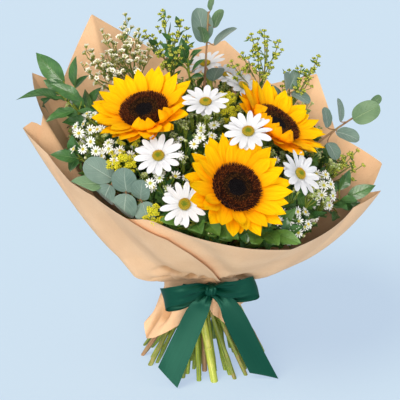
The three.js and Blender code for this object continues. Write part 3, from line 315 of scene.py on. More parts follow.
def tinted(tree, under, colour, mask, low, high, strength):
    """A colour laid over another as a mask goes from low to high, up to some strength."""
    return blend(tree, reckon(tree, "MULTIPLY", between(tree, mask, low, high), strength), under, colour)


def colour_ramp(tree, value, stops):
    made = step(tree, "ShaderNodeValToRGB", {"Fac": value})
    ramp = made.node.color_ramp
    while len(ramp.elements) < len(stops):
        ramp.elements.new(1.0)
    for element, (place, colour) in zip(ramp.elements, stops):
        element.position = place
        element.color = (*colour, 1.0)
    return made


def shader_group(name, inputs, outputs):
    """An effect that several materials share, with plain numbers in and out."""
    group = bpy.data.node_groups.new(name, "ShaderNodeTree")
    for title, value in inputs.items():
        made = group.interface.new_socket(name=title, in_out="INPUT", socket_type="NodeSocketFloat")
        made.default_value = value
    for title in outputs:
        group.interface.new_socket(name=title, in_out="OUTPUT", socket_type="NodeSocketFloat")
    return group, group.nodes.new("NodeGroupInput").outputs, group.nodes.new("NodeGroupOutput").inputs


def use_group(tree, group, inputs):
    return step(tree, "ShaderNodeGroup", inputs, node_tree=group).node.outputs


def new_material(name, **settings):
    """A material with its constants set on its own surface shader; gives its tree and that shader."""
    material = bpy.data.materials.new(name)
    material.use_nodes = True
    surface = material.node_tree.nodes["Principled BSDF"]
    for key, value in settings.items():
        surface.inputs[key.replace("_", " ")].default_value = value
    return material, material.node_tree, surface


def place_on_surface(tree):
    """How far across and along a petal, leaf or stem a point is, and the tone its piece was given."""
    uv = step(tree, "ShaderNodeUVMap", uv_map="UVMap")
    parts = step(tree, "ShaderNodeSeparateXYZ", {0: uv}).node.outputs
    tone = step(tree, "ShaderNodeAttribute", out="Fac", attribute_name="tone")
    return SimpleNamespace(across=parts[0], along=parts[1], tone=tone)


def paint(tree, surface, colour):
    tree.links.new(colour, surface.inputs["Base Color"])


def relief(tree, surface, height, distance):
    bump = step(tree, "ShaderNodeBump", {"Height": height, "Distance": distance})
    tree.links.new(bump, surface.inputs["Normal"])


# Long fibres and veins that run the length of a petal, a stem or a strip of satin.
fibres, given, result = shader_group(
    "long fibres", {"Across": 0.5, "Along": 0.5, "Tone": 0.5, "Count": 12.0, "Stretch": 1.5}, ["Streaks"]
)
fibres.links.new(step(fibres, "ShaderNodeTexNoise", {
    "Vector": step(fibres, "ShaderNodeCombineXYZ", {
        0: reckon(fibres, "MULTIPLY", given["Across"], given["Count"]),
        1: reckon(fibres, "MULTIPLY", given["Along"], given["Stretch"]),
        2: reckon(fibres, "MULTIPLY", given["Tone"], 37.0),
    }),
    "Scale": 1.0, "Detail": 3.0, "Roughness": 0.6,
}), result["Streaks"])

# Soft patches of two tones over anything that grows, and finer ones within them.
patches, given, result = shader_group("soft patches", {"Size": 0.01, "Tone": 0.5}, ["Patches"])
patch_place = step(patches, "ShaderNodeTexCoord", out="Object")
patches.links.new(step(patches, "ShaderNodeTexNoise", {
    "Vector": step(patches, "ShaderNodeVectorMath", {
        0: patch_place, 1: step(patches, "ShaderNodeCombineXYZ", {0: given["Tone"], 1: given["Tone"]}),
    }, operation="ADD"),
    "Scale": reckon(patches, "DIVIDE", 1.0, given["Size"]), "Detail": 2.0,
}), result["Patches"])


def fibres_along(tree, where, count, stretch):
    """The long fibres of a surface, so many across it and so many to its length."""
    return use_group(tree, fibres, {"Across": where.across, "Along": where.along, "Tone": where.tone,
                                    "Count": count, "Stretch": stretch})["Streaks"]


def stem_material(name, dark, light, blush, roughness=0.5):
    """Green or woody bark: darker streaks along it and a blush in patches."""
    material, tree, surface = new_material(name, Roughness=roughness)
    where = place_on_surface(tree)
    streaks = fibres_along(tree, where, 14.0, 9.0)
    green = blend(tree, between(tree, streaks, 0.35, 0.65), dark, light)
    spots = use_group(tree, patches, {"Size": 0.014, "Tone": where.tone})["Patches"]
    paint(tree, surface, tinted(tree, green, blush, spots, 0.5, 0.72, 0.75))
    relief(tree, surface, streaks, 0.0004)
    return material


def ramp_material(name, roughness, stops):
    """A surface that changes its colour along it, from its foot or its middle outwards."""
    material, tree, surface = new_material(name, Roughness=roughness)
    paint(tree, surface, colour_ramp(tree, place_on_surface(tree).along, stops))
    return material


# The pale pith of a cut end, browner at its rim.
cut_end = ramp_material("cut stem end", 0.8, [
    (0.0, (0.62, 0.62, 0.40)), (0.7, (0.55, 0.56, 0.30)), (1.0, (0.30, 0.27, 0.10))])
sunflower_green = stem_material(
    "sunflower stem", (0.10, 0.17, 0.018), (0.25, 0.33, 0.04), (0.32, 0.34, 0.06), 0.6)

SUNFLOWERS = {
    "left": dict(face=(-76, -55, 337), looks=(-0.16, -0.48, 0.86), turn=3, curled=(290, 340),
                 seed=11, lean=169, radius=5),
    "front": dict(face=(25, -140, 275), looks=(0.32, -0.68, 0.66), turn=9, curled=(),
                  seed=23, lean=281, radius=5.4),
    "right": dict(face=(74, -50, 320), looks=(0.52, -0.28, 0.81), turn=0, curled=(150, 172, 195, 215),
                  seed=37, lean=343, radius=5),
}
RAY_COUNT = 26
# The routes of the petals, as (radius, height) pairs, and their half widths along them.
RAY_FRONT = [(17.5, -1.2), (28.5, 0.6), (42, 8), (56, 17)]
RAY_BACK = [(17.5, -1.2), (28.5, -2.2), (43, 5), (58, 12)]
RAY_CURLED = [(17.5, -1.2), (30, 1), (36, 10), (27, 17)]
RAY_RISING = [(17.5, -0.6), (29, 0.6), (36, 7)]
RAY_INNER = [(17.5, -0.6), (27, 1.8), (39, 8.6)]
RAY_UNDER = [(17.5, -1.8), (28, -4.2), (42, 0.6)]
RAY_HALF_WIDTHS = [
    (0, 1.8), (0.16, 4.9), (0.34, 7.2), (0.54, 8.5), (0.7, 8.2), (0.84, 5.6), (0.94, 2.4), (1, 0.1)]
CURLED_HALF_WIDTHS = [(0, 1.8), (0.2, 5.4), (0.45, 8.4), (0.66, 8.4), (0.82, 6.2), (0.93, 3.0), (1, 0.3)]
HEAD_REACH, HEAD_DEPTH = 62.0, 9.0
DISC_HEIGHT = 6
DISC_RADIUS = 25.5
DISC_TOP = [(0, 4.6), (4, 5.0), (8.5, 5.4), (13.5, 6.4), (18.5, 7.5), (23.5, 7.2), (27, 3.4)]
FLORETS = 1050
FLORET_SUNK = 3.6
RIM_FLORET, RING_FLORET, HEART_FLORET = 0, 1, 2
# The zones of the disc, from its middle: where each ends, and its florets' height, radius, arms and kind.
DISC_ZONES = [(10.0, 2.1, 0.72, False, HEART_FLORET), (16.5, 3.0, 0.66, False, RING_FLORET),
              (26.0, 3.9, 0.60, True, RIM_FLORET)]
CALYX_DEPTH = 15
CALYX = [
    (4.0, -CALYX_DEPTH - 4), (5.5, -CALYX_DEPTH), (11, -10.5), (17, -7.2), (20, -5.2), (19.5, -3.4),
    (0.1, -3.3)]
# The rings of bracts: how many there are, their route, their half widths, and how far the ring is turned.
BRACTS = [
    (8, [(13, -6.0), (27, -6.2), (38, -2.4)], [(0, 4.6), (0.4, 5.6), (1, 0.2)], 0),
    (9, [(10, -8.2), (21, -9.4), (33, -7.0)], [(0, 4.4), (0.4, 5.2), (1, 0.2)], 18),
    (7, [(8, -11), (15, -13.4), (24, -13.0)], [(0, 3.6), (0.4, 4.2), (1, 0.2)], 5),
]

petal_gold, tree, surface = new_material("sunflower petal", Roughness=0.7, Specular_IOR_Level=0.08)
where = place_on_surface(tree)
streaks = fibres_along(tree, where, 26.0, 1.3)
gold = colour_ramp(tree, where.along, [
    (0.0, (0.74, 0.15, 0.001)), (0.3, (0.95, 0.30, 0.0)), (0.52, (1.0, 0.44, 0.0)), (0.9, (1.0, 0.57, 0.0))])
veined = tinted(tree, gold, (0.92, 0.25, 0.0), streaks, 0.5, 0.75, 0.3)
paint(tree, surface, tinted(tree, veined, (0.98, 0.27, 0.0), where.tone, 0.55, 1.0, 0.45))
relief(tree, surface, streaks, 0.0009)


def floret_material(name, dark, light, roughness):
    """The florets of a seed disc, from dark at their feet to lighter at their tips."""
    material, tree, surface = new_material(name, Roughness=roughness, Specular_IOR_Level=0.15)
    where = place_on_surface(tree)
    tips, open_wide = between(tree, where.along, 0.2, 0.95), between(tree, where.tone, 0.1, 0.9)
    paint(tree, surface, blend(tree, reckon(tree, "MULTIPLY", tips, open_wide), dark, light))
    return material


disc_rim = floret_material("open disc florets", (0.020, 0.004, 0.002), (0.26, 0.065, 0.010), 0.7)
disc_ring = floret_material("half-open disc florets", (0.012, 0.004, 0.002), (0.12, 0.048, 0.010), 0.75)
disc_heart = floret_material("closed disc florets", (0.003, 0.002, 0.003), (0.012, 0.008, 0.009), 0.6)


def lay_ray(skin, place, degrees, route, half_widths, rng, rows=22, columns=11, width=1.0,
            sweep=2.5, cup=0.22, twist=0.2, wave=0.05, pleat=0.03, notch=0.0, tone=0.3):
    """One petal of a flower's ring, along its route of (radius, height) pairs."""
    out = way_at(math.radians(degrees))
    side = np.array([-out[1], out[0], 0.0])
    line = spline(route, rows)
    t = np.linspace(0, 1, rows)
    path = out * line[:, :1] + UPWARD * line[:, 1:]
    path = path + side * (sweep * rng.normal(0, 0.5) * t**2)[:, None]
    sheet = blade(path, width * profile(half_widths, t), side, columns, cup=cup + rng.normal(0, 0.05),
                  fold=rng.normal(0, 0.03), pleat=pleat, twist=rng.normal(0, twist), wave=rng.normal(0, wave),
                  notch=notch)
    skin.lay(placed(sheet, place), tone=tone)


def sunflower_petals(flower, place, rng):
    """The ring of petals in two layers, with some more risen, further in and underneath."""
    skin = Skin()
    draw = seeded(flower["seed"])
    for k in range(RAY_COUNT):
        degrees = k * 360 / RAY_COUNT + flower["turn"] + 1.2 * (draw() - 0.5)
        is_front = k % 2 == 0
        is_curled = is_front and any(abs(azimuth - degrees) < 360 / RAY_COUNT for azimuth in flower["curled"])
        stretch = 0.94 + 0.1 * draw()
        lift = 1.8 * (draw() - 0.5)
        route = RAY_CURLED if is_curled else RAY_FRONT if is_front else RAY_BACK
        route = [(r * stretch, h + lift) if i > 1 else (r, h) for i, (r, h) in enumerate(route)]
        widths = CURLED_HALF_WIDTHS if is_curled else RAY_HALF_WIDTHS
        lay_ray(skin, place, degrees, route, widths, rng, cup=0.45 if is_curled else 0.14,
                width=rng.uniform(0.92, 1.06), tone=0.95 if is_curled else rng.uniform(0.0, 0.7))
        if any(abs(azimuth - degrees - 7) < 14 for azimuth in flower["curled"]):
            rising = [*RAY_RISING, (rng.uniform(30, 36), 18)]
            lay_ray(skin, place, degrees + 7, rising, CURLED_HALF_WIDTHS, rng, width=0.9, cup=0.4, tone=1.0)
        elif k % 4 == 1:
            inner = [*RAY_INNER, (rng.uniform(46, 51), 15)]
            lay_ray(skin, place, degrees + rng.uniform(4, 9), inner, RAY_HALF_WIDTHS, rng, width=0.8,
                    cup=0.2, tone=rng.uniform(0.2, 0.8))
        if k % 2 == 1:
            under = [*RAY_UNDER, (53, rng.uniform(4, 7))]
            lay_ray(skin, place, degrees + rng.uniform(4, 9), under, RAY_HALF_WIDTHS, rng, width=0.85,
                    tone=rng.uniform(0.6, 1.0))
    return skin


def sow(skin, shapes, places, sizes, tones):
    """Copies of small shapes, each a (sheets, kind, closed) triple, at many places, sizes and tones."""
    turns = np.stack([turn for turn, _ in places])
    spots = np.stack([at for _, at in places])
    sizes = np.broadcast_to(np.asarray(sizes, float), len(places))
    for sheets, kind, closed in shapes:
        sheets = np.asarray(sheets, float)
        if sheets.ndim == 3:
            sheets = sheets[None]
        copies = np.einsum("nij,mrcj->nmrci", turns * sizes[:, None, None], sheets)
        copies = copies + spots[:, None, None, None, :]
        many, each = copies.shape[:2]
        shades = np.repeat(np.broadcast_to(np.asarray(tones, float), many), each)
        skin.lay(copies.reshape(many * each, *copies.shape[2:]), kind, shades, closed)


def spike(height, radius, arms, kind):
    """A disc floret: a slim tube swollen at its mouth, with two curled arms once it is open."""
    outline = [(0.8 * radius, 0), (radius, 0.45 * height), (0.72 * radius, 0.8 * height), (0.04, height)]
    shapes = [(turned(outline, 6), kind, True)]
    for sign in (1, -1) if arms else ():
        path = [(0, 0, 0.85 * height), (sign * 0.35, 0, 1.12 * height), (sign * 0.95, 0, 1.2 * height)]
        shapes.append((blade(spline(path, 4), [0.16, 0.15, 0.12, 0.03], (0, 1, 0), 3), kind, False))
    return shapes


def sunflower_disc(place, rng):
    """A dark bed, with its florets set out on it in a spiral, taller and more open towards the rim."""
    skin = Skin()
    bed = [(r, profile(DISC_TOP, r) - 3.4) for r in (25.8, 24, 20, 15, 10, 5, 0.05)]
    lay_round(skin, [(23.5, 0.3), *bed], 40, place, HEART_FLORET, 0.2)
    turn, at = place
    low = 0.0
    for high, height, thickness, arms, kind in DISC_ZONES:
        places = []
        for i in range(FLORETS):
            radius = DISC_RADIUS * math.sqrt((i + 0.5) / FLORETS)
            if not low <= radius < high:
                continue
            out = way_at(i * GOLDEN_TURN)
            tilt = 0.9 * (radius / DISC_RADIUS) ** 4 - 0.1
            looks = unit(UPWARD + out * tilt + rng.normal(0, 0.10, 3))
            spot = out * radius + UPWARD * (profile(DISC_TOP, radius) - FLORET_SUNK + rng.normal(0, 0.25))
            spin = flower_frame((0, 0, 0), looks if abs(looks[2]) < 0.999 else unit(looks + (0.02, 0, 0)))[0]
            places.append((turn @ spin, turn @ spot + at))
        shapes = spike(height, thickness, arms, kind)
        sow(skin, shapes, places, rng.uniform(0.88, 1.12, len(places)), rng.uniform(0, 1, len(places)))
        low = high
    return skin


def bract_ring(skin, place, count, route, half_widths, turn, rng, rows=10, columns=5):
    """A ring of green bracts behind a head."""
    for k in range(count):
        degrees = 360 * (k + 0.5) / count + turn + rng.normal(0, 2)
        lay_ray(skin, place, degrees, route, half_widths, rng, rows=rows, columns=columns,
                cup=-0.25, wave=0.1, pleat=0.0, tone=rng.uniform(0, 1))


for side, flower in SUNFLOWERS.items():
    rng = np.random.default_rng(flower["seed"])
    looks = unit(flower["looks"])
    place = flower_frame(np.array(flower["face"]) - DISC_HEIGHT * looks, looks)
    flower_heads.append((place, HEAD_REACH, HEAD_DEPTH))
    name = f"sunflower_{side}"
    sunflower_petals(flower, place, rng).build(
        f"{name}_petal_ring", [petal_gold], [f"{name}_petals"], "petal_gold")
    sunflower_disc(place, rng).build(
        f"{name}_seed_disc", [disc_rim, disc_ring, disc_heart], [f"{name}_disc"], "seed_brown")
    stem = Skin()
    top = np.array(flower["face"]) - (DISC_HEIGHT + CALYX_DEPTH) * looks
    lay_stem(stem, "middle", flower["lean"], flower["radius"], top, looks)
    lay_round(stem, spline(CALYX, 16), 28, place)
    for bracts in BRACTS:
        bract_ring(stem, place, *bracts, rng)
    stem.build(f"{name}_stalk", [sunflower_green, cut_end], [f"{name}_stem"], "stem_green")

# ==== Daisy chrysanthemums
# Eight white single chrysanthemums on four branching green stems. Each has a ring of broad, ridged,
# notched petals round a domed disc of tiny florets, ochre at its edge and green in the middle.

DAISIES = [
    ("middle", (-8, -71, 349), (0, -0.43, 0.9)),
    ("left", (-58, -110, 300), (-0.08, -0.67, 0.74)),
    ("middle", (36.3, -108.5, 326.2), (0, -0.64, 0.77)),
    ("left", (-30, -140, 256), (-0.03, -0.8, 0.6)),
    ("right", (93.5, -111, 280), (0.6, -0.65, 0.62)),
    ("back", (-8, 88, 359), (-0.25, -0.3, 0.92)),
    ("back", (20, 80, 346), (0.2, -0.25, 0.94)),
    ("back", (39, 42, 341), (0.42, -0.38, 0.82)),
]
DAISY_STEMS = {
    "middle": ("middle", 230, 2.4), "back": ("outer", 112, 4.5),
    "left": ("outer", 233, 2.5), "right": ("outer", 311, 2.8),
}
DAISY_RAYS = 13
DAISY_PATH = [(5, -0.9), (9, -0.4), (17, 1.2), (26, 1.8)]
DAISY_UNDER = [(5, -1.4), (10, -1.6), (17, -0.6)]
DAISY_HALF_WIDTHS = [(0, 1.2), (0.2, 2.2), (0.45, 3.3), (0.68, 3.9), (0.84, 3.4), (0.95, 2.0), (1, 0.7)]
DAISY_REACH, DAISY_DEPTH = 28.0, 4.0
DAISY_DISC_HEIGHT = 2.8
DAISY_DOME = [(6.2, 0.0), (6.4, 0.9), (5.7, 1.7), (4.2, 2.1), (2.2, 2.1), (0.05, 1.9)]
DAISY_FLORETS = 170
DAISY_CALYX_DEPTH = 8
DAISY_CALYX = [
    (1.3, -DAISY_CALYX_DEPTH - 0.5), (2.2, -6.5), (4.6, -4.0), (5.6, -2.4), (5.2, -1.4), (0.1, -1.3)]
DAISY_BRACTS = [
    (12, [(3.5, -5.2), (6.6, -2.6), (8.6, -1.6)], [(0, 1.2), (0.5, 1.4), (1, 0.1)], 0),
    (9, [(2.0, -7), (4.6, -5.0), (6.2, -4.2)], [(0, 1.2), (0.5, 1.4), (1, 0.1)], 9),
]
DAISY_SHOOT_LEAVES = 0.62
# The scar of a leaf on the thick stem: its share of the way up to the tie, and the outline of its swelling.
SCAR_SHARE = 0.3
SCAR = [(0.98, -1.8), (1.2, -0.3), (0.98, 1.0)]
SCAR_FLAKES = 9

daisy_green = stem_material(
    "chrysanthemum stem", (0.33, 0.39, 0.04), (0.62, 0.66, 0.10), (0.70, 0.58, 0.16), 0.45)

petal_white, tree, surface = new_material("daisy petal", Roughness=0.6, Specular_IOR_Level=0.3)
where = place_on_surface(tree)
streaks = fibres_along(tree, where, 9.0, 0.8)
white = colour_ramp(tree, where.along, [
    (0.0, (0.50, 0.54, 0.33)), (0.25, (0.66, 0.67, 0.70)), (1.0, (0.745, 0.745, 0.765))])
paint(tree, surface, tinted(tree, white, (0.60, 0.60, 0.70), streaks, 0.5, 0.7, 0.45))
relief(tree, surface, streaks, 0.0009)

daisy_ochre, tree, surface = new_material("daisy disc florets", Roughness=0.7)
where = place_on_surface(tree)
ochre = colour_ramp(tree, where.tone, [
    (0.0, (0.13, 0.24, 0.008)), (0.38, (0.24, 0.30, 0.008)),
    (0.58, (0.62, 0.40, 0.006)), (1.0, (0.72, 0.36, 0.005))])
darker_foot = blend(tree, 0.55, ochre, (0.05, 0.05, 0.0))
paint(tree, surface, blend(tree, where.along, darker_foot, ochre))


def bead(radius, height, sides=6):
    """A small rounded bud or floret, standing on its foot."""
    outline = [(0.45, 0.0), (0.9, 0.25), (1.0, 0.5), (0.72, 0.82), (0.04, 1.0)]
    return turned([(radius * r, height * z) for r, z in outline], sides)


def daisy_petals(index, place, rng):
    """The ring of petals, every other one a little higher, with a few more underneath."""
    skin = Skin()
    draw = seeded(100 + index)
    for k in range(DAISY_RAYS):
        stretch = 0.93 + 0.1 * draw()
        degrees = 360 * k / DAISY_RAYS + math.degrees(0.04 * draw())
        raised = 0.8 * (k % 2)
        route = [(r * stretch, h + raised) if i > 0 else (r, h) for i, (r, h) in enumerate(DAISY_PATH)]
        lay_ray(skin, place, degrees, route, DAISY_HALF_WIDTHS, rng, rows=16, columns=9, sweep=1.2, cup=0.12,
                wave=0.04, pleat=0.07, notch=0.5, width=rng.uniform(0.88, 1.06), tone=rng.uniform(0, 1))
        if k % 4 == 1:
            under = [*DAISY_UNDER, (rng.uniform(22, 25), rng.uniform(-0.8, 0.4))]
            lay_ray(skin, place, degrees + 13, under, DAISY_HALF_WIDTHS, rng, rows=12, columns=7, sweep=1.0,
                    cup=0.1, twist=0.1, pleat=0.07, notch=1.0, width=0.85, tone=rng.uniform(0, 1))
    return skin


def daisy_disc(place, rng):
    """A low dome covered with florets, in a spiral from its middle."""
    skin = Skin()
    turn, at = place
    lay_round(skin, DAISY_DOME, 22, place, tone=0.3)
    places, tones = [], []
    for i in range(DAISY_FLORETS):
        share = math.sqrt((i + 0.5) / DAISY_FLORETS)
        out = way_at(i * GOLDEN_TURN)
        height = np.interp(share, [0, 0.35, 0.7, 0.9, 1.0], [1.8, 2.0, 1.9, 1.3, 0.6])
        looks = unit(UPWARD + out * (1.1 * share**3 + 0.01))
        spot = out * 6.2 * share + (0, 0, height)
        places.append((turn @ flower_frame((0, 0, 0), looks)[0], turn @ spot + at))
        tones.append(np.clip(share + rng.normal(0, 0.08), 0, 1))
    sow(skin, [(bead(0.42, 1.0, 5), 0, True)], places, rng.uniform(0.85, 1.15, DAISY_FLORETS), tones)
    return skin


def lay_shoot(skin, line, thick, thin, rows, sides, kind=STALK, tone=0.5):
    """A thin round shoot along a line, from thick to thin."""
    skin.lay(tube(bezier(line, np.linspace(0, 1, rows)), np.linspace(thick, thin, rows), sides), kind, tone,
             closed=True)


def lay_scar(skin, foot, tie, radius):
    """The swelling and the dry flakes where a leaf was stripped off a thick stem."""
    scar = flower_frame(foot + (tie - foot) * SCAR_SHARE, tie - foot)
    lay_round(skin, [(r * radius, h) for r, h in SCAR], 18, scar, tone=1.0)
    for k in range(SCAR_FLAKES):
        out = way_at(0.7 * k)
        route = [out * 1.02 * radius, out * 1.2 * radius + (0, 0, 1.4), out * 1.16 * radius + (0, 0, 3.2)]
        flake = blade(spline(route, 4), [0.9, 0.8, 0.5, 0.1], (-out[1], out[0], 0), 3)
        skin.lay(placed(flake, scar), STALK, 1.0)


for branch, (ring, lean, radius) in DAISY_STEMS.items():
    stalk = Skin()
    handles = None
    for index, (grows_on, at, looks) in enumerate(DAISIES):
        if grows_on != branch:
            continue
        looks = unit(looks)
        place = flower_frame(np.array(at) - DAISY_DISC_HEIGHT * looks, looks)
        base = np.array(at) - (DAISY_DISC_HEIGHT + DAISY_CALYX_DEPTH - 2) * looks
        rng = np.random.default_rng(200 + index)
        if handles is None:
            handles = lay_stem(stalk, ring, lean, radius, base, looks, joints=34, tone=lean / 360)
            if radius > THICK_STEM:
                lay_scar(stalk, *stem_run(ring, lean), radius)
        else:
            start = bezier(handles, DAISY_SHOOT_LEAVES)[0]
            leave = bezier(handles, DAISY_SHOOT_LEAVES + 0.02)[0] - start
            lay_shoot(stalk, reach_out(start, leave, base, looks), 1.7, 1.3, 22, 8, tone=0.4)
        lay_round(stalk, spline(DAISY_CALYX, 12), 16, place)
        for bracts in DAISY_BRACTS:
            bract_ring(stalk, place, *bracts, rng, rows=5, columns=3)
        flower_heads.append((place, DAISY_REACH, DAISY_DEPTH))
        name = f"daisy_{index + 1}"
        daisy_petals(index, place, rng).build(
            f"{name}_petal_ring", [petal_white], [f"{name}_petals"], "petal_white")
        daisy_disc(place, rng).build(f"{name}_florets", [daisy_ochre], [f"{name}_disc"], "daisy_ochre")
    stalk.build(f"chrysanthemum_{branch}_stalk", [daisy_green, cut_end],
                [f"chrysanthemum_stem_{branch}"], "stem_green")

# ==== Eucalyptus
# Four stems of silver-dollar eucalyptus. Thick, waxy, nearly round leaves, grey-green with a bloom on
# them and pale veins, sit in pairs on ruddy, slender stems and are smaller towards the tip.

EUCALYPTUS = {
    "back": (("middle", 95, 2.3, (-4, 60, 424), (0.05, 0, 1)), [
        (0.9, (-9, 60, 388), (-18, 60, 428), 29), (0.88, (3, 60, 384), (30, 62, 404), 24),
        (0.93, (-9, 54, 388), (-14, 48, 408), 17), (0.95, (3, 66, 404), (13, 70, 425), 17),
        (1.0, (-2, 60, 425), (2, 60, 440), 12), (0.78, (2, 40, 345), (8, 24, 364), 22)]),
    "right": (("outer", 17, 2.2, (186, 19, 318), (0.85, 0.1, 0.5)), [
        (0.96, (166, 13, 305), (196, 12, 322), 26), (0.88, (152, 14, 302), (147, 16, 330), 13),
        (0.87, (146, 6, 292), (172, -2, 284), 20), (0.82, (136, 2, 280), (146, -8, 262), 20),
        (0.82, (137, 16, 294), (132, 20, 318), 16), (1.0, (187, 20, 320), (199, 24, 331), 11)]),
    "middle": (("outer", 36, 2.2, (90, 26, 336), (0.2, 0, 1)), [
        (0.95, (87, 22, 336), (83, 12, 360), 24), (0.97, (94, 24, 335), (114, 14, 324), 22),
        (1.0, (91, 28, 338), (100, 40, 358), 16), (0.9, (82, 30, 322), (66, 36, 340), 20)]),
    "left": (("outer", 218, 2.1, (-116, -99, 264), (-0.9, 0.1, 0.35)), [
        (0.96, (-108, -96, 268), (-138, -92, 286), 27), (1.0, (-118, -100, 264), (-154, -100, 262), 19),
        (0.96, (-110, -104, 264), (-119, -111, 242), 25), (0.88, (-92, -111, 258), (-94, -112, 286), 28),
        (0.88, (-92, -115, 258), (-95, -124, 231), 29), (0.8, (-77, -116, 252), (-74, -120, 275), 22),
        (0.8, (-75, -120, 250), (-67, -132, 230), 23)]),
}
ROUND_HALF_WIDTHS = [
    (0, 0.04), (0.06, 0.24), (0.2, 0.42), (0.45, 0.5), (0.7, 0.46), (0.87, 0.34), (0.96, 0.2), (1, 0.03)]
LEAF_FACING = np.array([0, -0.6, 0.6])
LEAF_ARCH = 0.06

# The midrib of a leaf and the veins that branch from it towards the tip.
veins, given, result = shader_group(
    "leaf veins", {"Across": 0.5, "Along": 0.5, "Pairs": 6.0, "Slant": 1.2}, ["Midrib", "Branches", "Relief"])
from_middle = reckon(veins, "SUBTRACT", given["Across"], 0.5)
from_rib = reckon(veins, "MULTIPLY", reckon(veins, "ABSOLUTE", from_middle), 2.0)
rib_width = reckon(veins, "MULTIPLY_ADD", given["Along"], -0.06)
rib_width.node.inputs[2].default_value = 0.1
midrib = reckon(veins, "SUBTRACT", 1.0, between(veins, from_rib, 0.01, rib_width))
phase = reckon(veins, "SUBTRACT", reckon(veins, "MULTIPLY", given["Along"], given["Pairs"]),
               reckon(veins, "MULTIPLY", from_rib, given["Slant"]))
beat = reckon(veins, "ABSOLUTE", reckon(veins, "SUBTRACT", reckon(veins, "FRACT", phase), 0.5))
branches = reckon(veins, "MULTIPLY", between(veins, beat, 0.42, 0.5), between(veins, from_rib, 1.0, 0.5))
veins.links.new(midrib, result["Midrib"])
veins.links.new(branches, result["Branches"])
veins.links.new(reckon(veins, "MAXIMUM", midrib, reckon(veins, "MULTIPLY", branches, 0.5)), result["Relief"])


def leaf_material(name, dark, light, vein, pairs, slant, roughness, vein_share=0.5, raised=-0.0005,
                  size=0.012, **settings):
    """A leaf: two greens in patches, paler veins, and their relief."""
    material, tree, surface = new_material(name, Roughness=roughness, **settings)
    where = place_on_surface(tree)
    drawn = use_group(tree, veins, {
        "Across": where.across, "Along": where.along, "Pairs": pairs, "Slant": slant})
    spots = use_group(tree, patches, {"Size": size, "Tone": where.tone})["Patches"]
    mixed = reckon(tree, "ADD", reckon(tree, "MULTIPLY", between(tree, spots, 0.3, 0.7), 0.5),
                   reckon(tree, "MULTIPLY", where.tone, 0.5))
    branches = reckon(tree, "MULTIPLY", drawn["Branches"], 0.55)
    lines = reckon(tree, "MULTIPLY", reckon(tree, "MAXIMUM", drawn["Midrib"], branches), vein_share)
    paint(tree, surface, blend(tree, lines, blend(tree, mixed, dark, light), vein))
    relief(tree, surface, drawn["Relief"], raised)
    return material


eucalyptus_leaf = leaf_material(
    "eucalyptus leaf", (0.080, 0.142, 0.112), (0.175, 0.258, 0.205), (0.34, 0.42, 0.34), 5.0, 2.4, 0.55,
    vein_share=0.6, raised=-0.0004, size=0.02, Sheen_Weight=0.25)
young_leaf = leaf_material(
    "young eucalyptus leaf", (0.050, 0.120, 0.050), (0.125, 0.225, 0.095), (0.27, 0.38, 0.18), 5.0, 2.4, 0.5,
    vein_share=0.6, raised=-0.0004, size=0.02, Sheen_Weight=0.15)
eucalyptus_bark = stem_material(
    "eucalyptus stem", (0.22, 0.10, 0.045), (0.38, 0.22, 0.10), (0.30, 0.26, 0.10), 0.55)
green_bark = stem_material(
    "green eucalyptus stem", (0.14, 0.17, 0.02), (0.33, 0.36, 0.05), (0.36, 0.28, 0.10), 0.55)
LEAF, BARK, YOUNG_LEAF = 0, 1, 2
YOUNG_LEAVES = {"back": (2, 3, 4), "right": (0, 5), "left": (1,), "middle": ()}


# The bowl of paper that the leaves lean on: its rim all the way round (a turn, a radius, a height),
# and its neck at the tie.
RIM = [
    (3, 194, 212), (9.5, 212, 244), (28, 180, 266), (40.5, 177, 338), (62, 170, 317), (83.5, 166, 372),
    (110, 171, 350), (142, 189, 413), (158, 199, 334), (168, 219, 354), (184.5, 194, 318), (188, 214, 308),
    (198, 190, 287), (209, 175, 263), (221, 166, 255), (236.5, 162, 240), (244, 161.5, 236), (258, 162, 232),
    (283, 169, 217), (299, 166, 208), (319, 168, 217), (336, 171, 226), (350, 197, 234), (357, 186, 226),
    (363, 194, 212),
]
rim_turns, rim_radii, rim_heights = (np.array(column, float) for column in zip(*RIM))


def rim_at(azimuth):
    turn = (np.asarray(azimuth, float) - rim_turns[0]) % 360 + rim_turns[0]
    return np.interp(turn, rim_turns, rim_radii), np.interp(turn, rim_turns, rim_heights)


NECK_RADIUS = 32.0
NECK_HALF_HEIGHT = 10.0


def neck_radius(azimuth):
    """The neck of the paper, fuller at the left where the flap is gathered in."""
    return NECK_RADIUS + 4.0 * np.exp(-(((np.asarray(azimuth) - 197) / 35) ** 2))


def bowl_line(azimuth, neck, high, t):
    """The radius and height of the paper's bowl at shares of its way up, and the way out of it."""
    rim_radius, rim_height = rim_at(azimuth)
    front = np.maximum(0, np.cos(np.radians(azimuth - 275))) ** 2
    fuller = np.exp(-(((np.asarray(azimuth, float) % 360 - 338) / 20) ** 2))
    elbow_radius = neck + (0.46 - 0.1 * front + 0.17 * fuller) * (rim_radius - neck)
    elbow_height = high + (0.12 + 0.15 * front - 0.08 * fuller) * (rim_height - high)
    radius = (1 - t) ** 2 * neck + 2 * t * (1 - t) * elbow_radius + t * t * rim_radius
    height = (1 - t) ** 2 * high + 2 * t * (1 - t) * elbow_height + t * t * rim_height
    run = (1 - t) * (elbow_radius - neck) + t * (rim_radius - elbow_radius)
    rise = (1 - t) * (elbow_height - high) + t * (rim_height - elbow_height)
    length = np.hypot(run, rise)
    return radius, height, rise / length, -run / length


